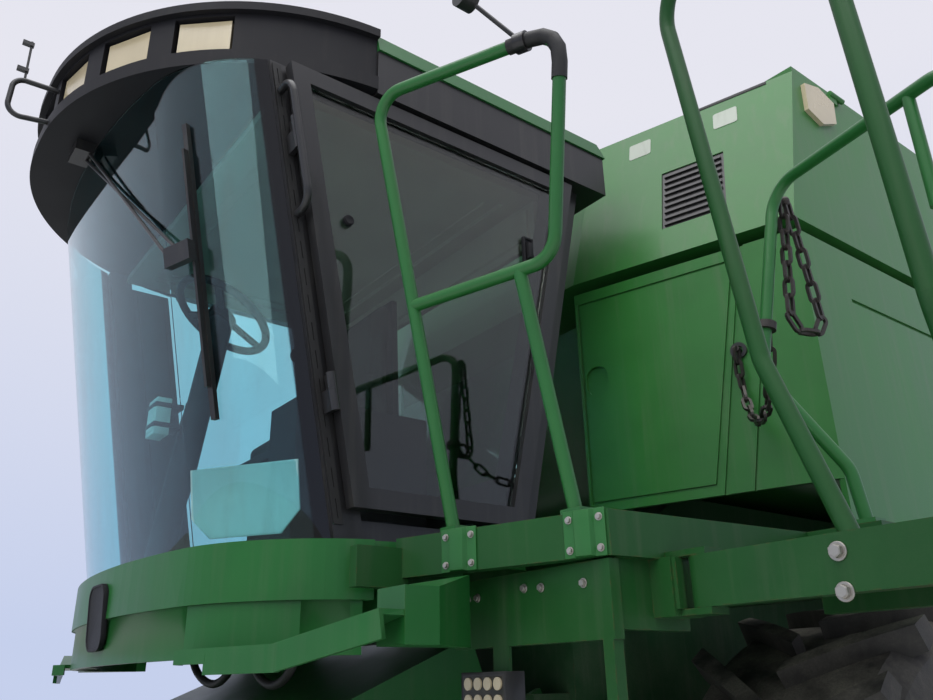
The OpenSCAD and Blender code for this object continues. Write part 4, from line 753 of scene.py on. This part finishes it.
# %% Wheel nuts
NUTS_A_WHEEL = 10
NUT_WIDTH = 0.034
DISC_OUT = 0.006
for axle, ring in (("front", 0.195), ("rear", 0.125)):
    for side, sign in (("left", 1.0), ("right", -1.0)):
        low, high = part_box(f"{axle}_rim_{side}")
        middle = (Vector(low) + Vector(high)) / 2
        spots = []
        for k in range(NUTS_A_WHEEL):
            angle = k * math.tau / NUTS_A_WHEEL
            spot = middle + Vector((sign * DISC_OUT, ring * math.cos(angle), ring * math.sin(angle)))
            spots.append(facing(spot, (sign, 0.0, 0.0)))
        repeat(bolt_pattern(NUT_WIDTH), spots, f"{axle}_nuts_{side}", f"wheel_{axle}_{side}")
print("wheel nuts: 4 rings of", NUTS_A_WHEEL)

# %% [markdown]
# ## Feet of the handrail
# Each post of the handrail stands in a pressed bracket on the beam's front: a plate with a shallow round
# channel down its middle and four bolts at its corners. The plate starts as a block in the beam's own
# frame, its middle strip is pushed out, and the edges are rounded. In that frame no angle has to be
# counted twice.

# %% Handrail brackets
def on_beam(x):
    """The placement of the beam's front face at a distance from the centre-plane, X along the beam."""
    along = Vector((math.cos(SWEEP), math.sin(SWEEP), 0.0))
    origin = at(x, 0.64 - (1.55 - x) * math.tan(SWEEP), DECK_Z)
    return framed(origin, along, -Vector(BEAM_OUT), Vector((0.0, 0.0, 1.0)))


foot_bolts = []
for x in (1.163, 1.493):
    beam_here = on_beam(x)
    bracket = start_block(f"rail_bracket_{int(x * 100)}", (-0.052, -0.0045, -0.100), (0.052, -0.0003, 0.004))
    shape_faces(bracket, lambda centre, normal: True,
                lambda: bpy.ops.mesh.subdivide(number_cuts=3, quadcorner="INNERVERT"))
    shape_faces(bracket, lambda centre, normal: faces_front(centre, normal) and abs(centre.x) < 0.026,
                push(0.0, -0.012, 0.0), resize(0.75, 1.0, 0.96))
    bracket.matrix_world = beam_here
    settle(bracket, "machine", green_tube, bevel=0.004, segments=3)
    for u in (-0.038, 0.038):
        for z in (-0.083, -0.016):
            foot_bolts.append(facing(beam_here @ Vector((u, -0.0045, z)), BEAM_OUT))
repeat(bolt_pattern(0.013), foot_bolts, "bracket_bolts", "machine")
print("handrail brackets: 2 with", len(foot_bolts), "bolts")

# %% [markdown]
# ## Slotted strip
# A black rubber strip with a row of slots covers the gap between the windscreen and the door, and leans
# as the glass does. It is made of equal cells: each is a block whose outer face is inset, narrowed and
# pushed in. The cells are joined and their shared corners merged.

# %% Slotted strip
SLOTS = 17
SLOT_PITCH = 0.08
cells = []
for i in range(SLOTS):
    z = 1.99 + i * SLOT_PITCH
    cell = start_block("cell", (0.0, 0.0, 0.0), (0.004, 0.028, SLOT_PITCH))
    shape_faces(cell, faces_left, inset(0.010), resize(1.0, 0.35, 0.85), push(-0.003, 0.0, 0.0))
    for knot in cell.data.vertices:
        knot.co = knot.co + at(0.8803, 0.334 - (z + knot.co.z - DECK_Z) * LEAN, z)
    cells.append(cell)
strip = merge("pillar_strip", *cells)
merge_doubles(strip)
settle(strip, "machine", rubber)
print("strip with", len(cells), "slots")

# %% [markdown]
# ## Button and latch
# The door's pane is held by a round button near its front edge and a pull latch near its rear edge. The
# button is a disc with a rim and a hollow. The latch is a shallow case with a pull in it.

# %% Button and latch
button = start_disc("pane_button", at(0.917, 0.315, 2.872), 0.017, 0.013, (1.0, 0.0, 0.0), 32)
shape_faces(button, faces_left, inset(0.003), push(0.003, 0.0, 0.0), inset(0.004), push(-0.001, 0.0, 0.0))
settle(button, "door", black_plastic, bevel=0.001)
latch = start_block("door_latch", at(0.9105, 1.000, 2.935), at(0.925, 1.045, 3.045))
shape_faces(latch, faces_left, inset(0.008), push(-0.007, 0.0, 0.0))
pull = start_block("latch_pull", at(0.918, 1.012, 2.955), at(0.938, 1.030, 3.025))
shape_faces(pull, faces_left, resize(0.8, 0.8, 0.8))
settle(merge("door_latch", latch, pull), "door", black_plastic, bevel=0.002)
print("button and latch on the door")

# %% [markdown]
# ## Lining and trims of the cab
# Through the glass show the pale roof lining, the header behind it and a dark trim on the right front
# pillar. The real ones are pressed panels covered with cloth or moulded in plastic. Each is a block with
# an inset field, and the field's step gives the edge that catches the light.

# %% Lining, trim and header
lining_cloth = finish("lining_cloth", (0.26, 0.25, 0.20), rough=0.9, dust=0.2, streaks=0.0, chips=0.0,
                      grain=700.0, bump=0.4, under=DUST, gloss=0.2)
trim_plastic = finish("trim_plastic", (0.035, 0.037, 0.040), rough=0.6, dust=0.3, streaks=0.0, chips=0.0,
                      grain=500.0, bump=0.3, under=DUST, gloss=0.3)


def leaning_block(name, low, high):
    """A block that leans as the windscreen does, from the deck upwards."""
    piece = start_block(name, low, high)
    for knot in piece.data.vertices:
        knot.co.y -= (knot.co.z - DECK_Z) * LEAN
    return piece


lining = start_block("roof_lining", at(-0.80, 0.12, 3.318), at(0.80, 1.20, 3.352))
shape_faces(lining, faces_down, inset(0.10), push(0.0, 0.0, 0.016), inset(0.05), push(0.0, 0.0, 0.006))
settle(lining, "machine", lining_cloth, bevel=0.012, segments=3)
trim = leaning_block("right_pillar_trim", at(-0.862, 0.42, 1.96), at(-0.840, 0.60, 3.315))
shape_faces(trim, faces_left, inset(0.03), push(0.012, 0.0, 0.0))
settle(trim, "machine", trim_plastic, bevel=0.006)
header = start_block("rear_header", at(-0.80, 1.17, 3.13), at(0.80, 1.20, 3.318))
shape_faces(header, faces_front, inset(0.03), push(0.0, -0.014, 0.0))
settle(header, "machine", lining_cloth, bevel=0.008)
print("lining, trim and header")

# %% [markdown]
# ## Plate and unit behind the windscreen
# A white plate with cut lower corners leans against the glass, and a small pale unit is strapped to the
# column by two bands. The plate is shaped flat, so that its corners and its rim are easy to cut, and is
# leaned afterwards.

# %% Plate, unit and bands
blank_white = finish("blank_plate", (0.78, 0.80, 0.76), rough=0.45, dust=0.3, streaks=0.3, chips=0.1,
                     under=(0.2, 0.2, 0.2, 1.0))
holder = start_block("plate_holder", (-0.166, -0.003, -0.095), (0.166, 0.003, 0.095))
cut_corners(holder, lambda a, b: runs_along_y(a, b) and a.z < 0.0, 0.058)
shape_faces(holder, faces_front, inset(0.006), push(0.0, 0.001, 0.0))
leaned = Matrix.Rotation(math.radians(34.5), 4, "Z") @ Matrix.Rotation(math.radians(11.3), 4, "X")
holder.matrix_world = Matrix.Translation(at(0.683, 0.162, 2.068)) @ leaned
settle(holder, "machine", blank_white, bevel=0.0015)
unit = start_block("strapped_unit", at(-0.045, 0.085, 2.40), at(0.045, 0.135, 2.53))
shape_faces(unit, faces_front, inset(0.012), push(0.0, -0.004, 0.0))
settle(unit, "machine", blank_white, bevel=0.006)
for z in (2.425, 2.495):
    band = start_block(f"unit_band_{int(z * 1000)}", at(-0.048, 0.080, z), at(0.048, 0.175, z + 0.018))
    shape_faces(band, faces_front, resize(0.98, 0.98, 0.98))
    settle(band, "machine", rubber, bevel=0.003)
print("plate and unit with 2 bands")

# %% [markdown]
# ## Plate on the skirt
# The skirt's front carries a plain dark plate with a raised rim. The corners of a flat block are rounded
# by a wide bevel, its face is inset and pushed in, and the plate leans as the skirt does.

# %% Plate on the skirt
plate = start_block("front_plate", (-0.085, -0.008, -0.098), (0.085, 0.008, 0.098))
cut_corners(plate, runs_along_y, 0.045, 6)
shape_faces(plate, faces_front, inset(0.008), push(0.0, 0.003, 0.0))
plate.matrix_world = Matrix.Translation(at(0.0, -0.002, 1.808)) @ Matrix.Rotation(math.radians(3.6), 4, "X")
settle(plate, "machine", black_plastic, bevel=0.0015)
print("plain plate on the skirt")

# %% [markdown]
# ## Skirt with the step's end bracket
# The solid's block at the outer end of the cleaning step is bulkier than the real bracket. This copy of
# the skirt has the same mesh with its doubles merged, and only that block's corners are moved in, so that
# it becomes a gusset between the step and its arm. The copy replaces the solid's mesh in the picture.

# %% Skirt
FRONT_MOVES_BACK = 0.036
REAR_MOVES_AHEAD = 0.166
TOP_DROPS = 0.045
skirt = bpy.data.objects.new("skirt_and_steps", nodes["cab_base"].data.copy())
bpy.context.scene.collection.objects.link(skirt)
merge_doubles(skirt)
moved = 0
for knot in skirt.data.vertices:
    across, back, up = abs(knot.co.x - MIDDLE_X), knot.co.y - CAB_Y, knot.co.z
    if not (1.185 < across < 1.302 and 0.235 < back < 0.535 and up < 1.845):
        continue
    outer = across > 1.29
    in_front = back < 0.25
    if in_front:
        knot.co.y += FRONT_MOVES_BACK
    if outer and back > 0.5:
        knot.co.y -= REAR_MOVES_AHEAD
    if up > 1.83 and (outer or in_front):
        knot.co.z -= TOP_DROPS
    moved += 1
settle(skirt, "machine", green_paint, smooth=8.0)
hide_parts("cab_base")
print("skirt: corners moved", moved)

# %% [markdown]
# ## Lamp body and grip pad
# The lower lamp's lenses stand in a cast black body, a block with a shallow field. A rubber pad is bound
# round the loop's upper corner: it is a thicker rod along the same bend as the tube, so it fits closely.

# %% Lamp body and grip pad
LOOP_LEAN = math.radians(12.0)
lamp_body = start_block("lamp_body", at(1.081, 0.5822, 1.461), at(1.249, 0.6392, 1.624))
shape_faces(lamp_body, faces_front, inset(0.010), push(0.0, 0.001, 0.0))
settle(lamp_body, "machine", black_paint, bevel=0.004)


def on_loop(along, up):
    """A point of the handrail's loop, from its foot along the beam and up its leaning post."""
    return at(1.110 + along * math.cos(SWEEP),
              0.5255 + along * math.sin(SWEEP) - up * math.sin(LOOP_LEAN),
              DECK_Z + up * math.cos(LOOP_LEAN))


corner = on_loop(0.610, 1.165)
to_top = (on_loop(0.020, 1.235) - corner).normalized()
to_foot = (on_loop(0.455, 0.600) - corner).normalized()
pad = bent_rod("loop_pad", [corner + to_top * 0.15, corner, corner + to_foot * 0.13], 0.0205, 0.087)
settle(pad, "machine", rubber, bevel=0.004)
print("lamp body and grip pad")

# %% [markdown]
# ## Stickers and edge of the tank
# Two faded stickers sit on the tank's front, and a black strip lies along its top edge. The tank's front
# is swept and leans back, so these are shaped flat and placed in that face's own frame.

# %% Stickers and edge strip
TANK_FRONT_OUT = Vector((0.28, -0.93, 0.25)).normalized()
TANK_FRONT_ALONG = Vector((0.957, 0.291, 0.0))
faded = finish("faded_sticker", (0.40, 0.44, 0.39), rough=0.6, dust=0.5, streaks=0.6, chips=0.5,
               under=(0.03, 0.10, 0.04, 1.0))


def on_tank_front(x, back, up):
    """The placement of the tank's front face at a point, X along the face and Y up it."""
    up_face = TANK_FRONT_OUT.cross(TANK_FRONT_ALONG).normalized()
    return framed(at(x, back, up), TANK_FRONT_ALONG, up_face, TANK_FRONT_OUT)


for i, place in enumerate(((0.879, 1.751, 3.742), (1.242, 1.859, 3.733))):
    sticker = start_block(f"blank_sticker_{i}", (-0.050, -0.045, 0.0002), (0.050, 0.045, 0.0014))
    cut_corners(sticker, runs_along_z, 0.010, 4)
    sticker.matrix_world = on_tank_front(*place)
    settle(sticker, "machine", faded)
edge_strip = start_block("tank_edge_strip", (-0.145, -0.010, -0.004), (0.145, 0.008, 0.004))
shape_faces(edge_strip, faces_up, inset(0.002), push(0.0, 0.0, 0.001))
edge_strip.matrix_world = on_tank_front(1.262, 1.898, 3.842)
settle(edge_strip, "machine", rubber, bevel=0.001)
print("2 stickers and an edge strip")

# %% [markdown]
# ## Seat
# The seat is a pressed shell with two foam cushions in woven cloth. Each cushion starts as a rounded
# block that is remeshed to small faces and blown up by Cloth with pressure and no gravity, as far as its
# cover lets it; then it is fixed as a mesh and subdivided once. Sculpted bulges would look alike, but the
# pressure puts them where a stuffed cover has them.

# %% Seat cushions
CUSHION_ROUNDING = 0.022
CUSHION_SWELL = 0.024
CLOTH_FACE = 0.006
CLOTH_STEPS = 20
seat_cloth = finish("seat_cloth", (0.030, 0.034, 0.032), rough=0.9, dust=0.25, streaks=0.0, chips=0.0,
                    bump=0.6, depth=0.0008, grain=650.0, under=DUST, gloss=0.15)


def cushion(name, low, high):
    """A foam cushion that is blown up inside its cover and no further than the cover's swell."""
    foam = start_block(name, low, high)
    cut_corners(foam, lambda a, b: True, CUSHION_ROUNDING, 4)
    fine = foam.modifiers.new("fine", "REMESH")
    fine.mode, fine.voxel_size = "VOXEL", CLOTH_FACE
    bpy.ops.object.modifier_apply(modifier=fine.name)
    start = [knot.co.copy() for knot in foam.data.vertices]
    cloth = foam.modifiers.new("cloth", "CLOTH")
    cloth.settings.use_pressure = True
    cloth.settings.uniform_pressure_force = 4.0
    cloth.settings.effector_weights.gravity = 0.0
    for step in range(1, CLOTH_STEPS + 1):
        bpy.context.scene.frame_set(step)
    bpy.ops.object.modifier_apply(modifier=cloth.name)
    bpy.context.scene.frame_set(1)
    for knot, place in zip(foam.data.vertices, start):
        move = knot.co - place
        if move.length > CUSHION_SWELL:
            knot.co = place + move * (CUSHION_SWELL / move.length)
    round_off = foam.modifiers.new("round_off", "SUBSURF")
    round_off.levels = round_off.render_levels = 1
    bpy.ops.object.modifier_apply(modifier=round_off.name)
    settle(foam, "machine", seat_cloth, smooth=60.0)
    return foam


seat_base = cushion("seat_base_cushion", at(-0.222, 0.520, 2.405), at(0.222, 0.815, 2.465))
seat_back = cushion("seat_back_cushion", at(-0.212, 0.862, 2.515), at(0.212, 0.905, 3.035))
print("cushions of", len(seat_base.data.polygons), "and", len(seat_back.data.polygons), "faces")

# %% Seat pan and shell
pan = start_block("seat_pan", at(-0.245, 0.495, 2.371), at(0.245, 0.938, 2.402))
shape_faces(pan, faces_up, inset(0.015), push(0.0, 0.0, -0.006))
settle(pan, "machine", black_plastic, bevel=0.008, segments=3)
shell = start_block("seat_shell", at(-0.235, 0.912, 2.40), at(0.235, 0.939, 3.055))
shape_faces(shell, lambda centre, normal: normal.y > 0.9, inset(0.03), push(0.0, 0.006, 0.0))
shape_faces(shell, faces_up, resize(0.86, 1.0, 1.0))
settle(shell, "machine", black_plastic, bevel=0.008, segments=3)
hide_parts("seat")
print("seat pan and shell")

# %% [markdown]
# ## Hoses
# Two rubber hoses hang under the skirt's middle, each from one grommet in the cab's floor to the next.
# Both ends go back into the machine, so each is a cord of the length that shows. A route is drawn through
# the knots by short curves, and a rod follows it.

# %% Hoses
HOSE_D = 0.025
HOSE_BACK = 0.35
CURVE_STEPS = 7
hose_knots = (((-0.160, 1.92), (-0.135, 1.675), (0.083, 1.596), (0.252, 1.657), (0.275, 1.92)),
              ((0.330, 1.92), (0.361, 1.662), (0.523, 1.588), (0.672, 1.654), (0.690, 1.92)))


def hose_route(knots):
    """Points along a hanging hose: straight at both ends, and curved past every knot between them."""
    points = [knots[0], knots[0].lerp(knots[1], 0.35)]
    for a, b, c in zip(knots, knots[1:], knots[2:]):
        first = a.lerp(b, 0.6) if a is knots[0] else (a + b) / 2
        last = b.lerp(c, 0.4) if c is knots[-1] else (b + c) / 2
        for k in range(CURVE_STEPS + 1):
            t = k / CURVE_STEPS
            points.append(first * (1 - t) ** 2 + b * 2 * t * (1 - t) + last * t ** 2)
    points += [knots[-2].lerp(knots[-1], 0.65), knots[-1]]
    return [p for i, p in enumerate(points) if i == 0 or (p - points[i - 1]).length > 0.002]


for number, knots_xz in enumerate(hose_knots):
    route = hose_route([at(x, HOSE_BACK, z) for x, z in knots_xz])
    hose = bent_rod(f"hose_{number}", route, HOSE_D / 2, 0.0)
    settle(hose, "machine", rubber)
    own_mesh(hose)
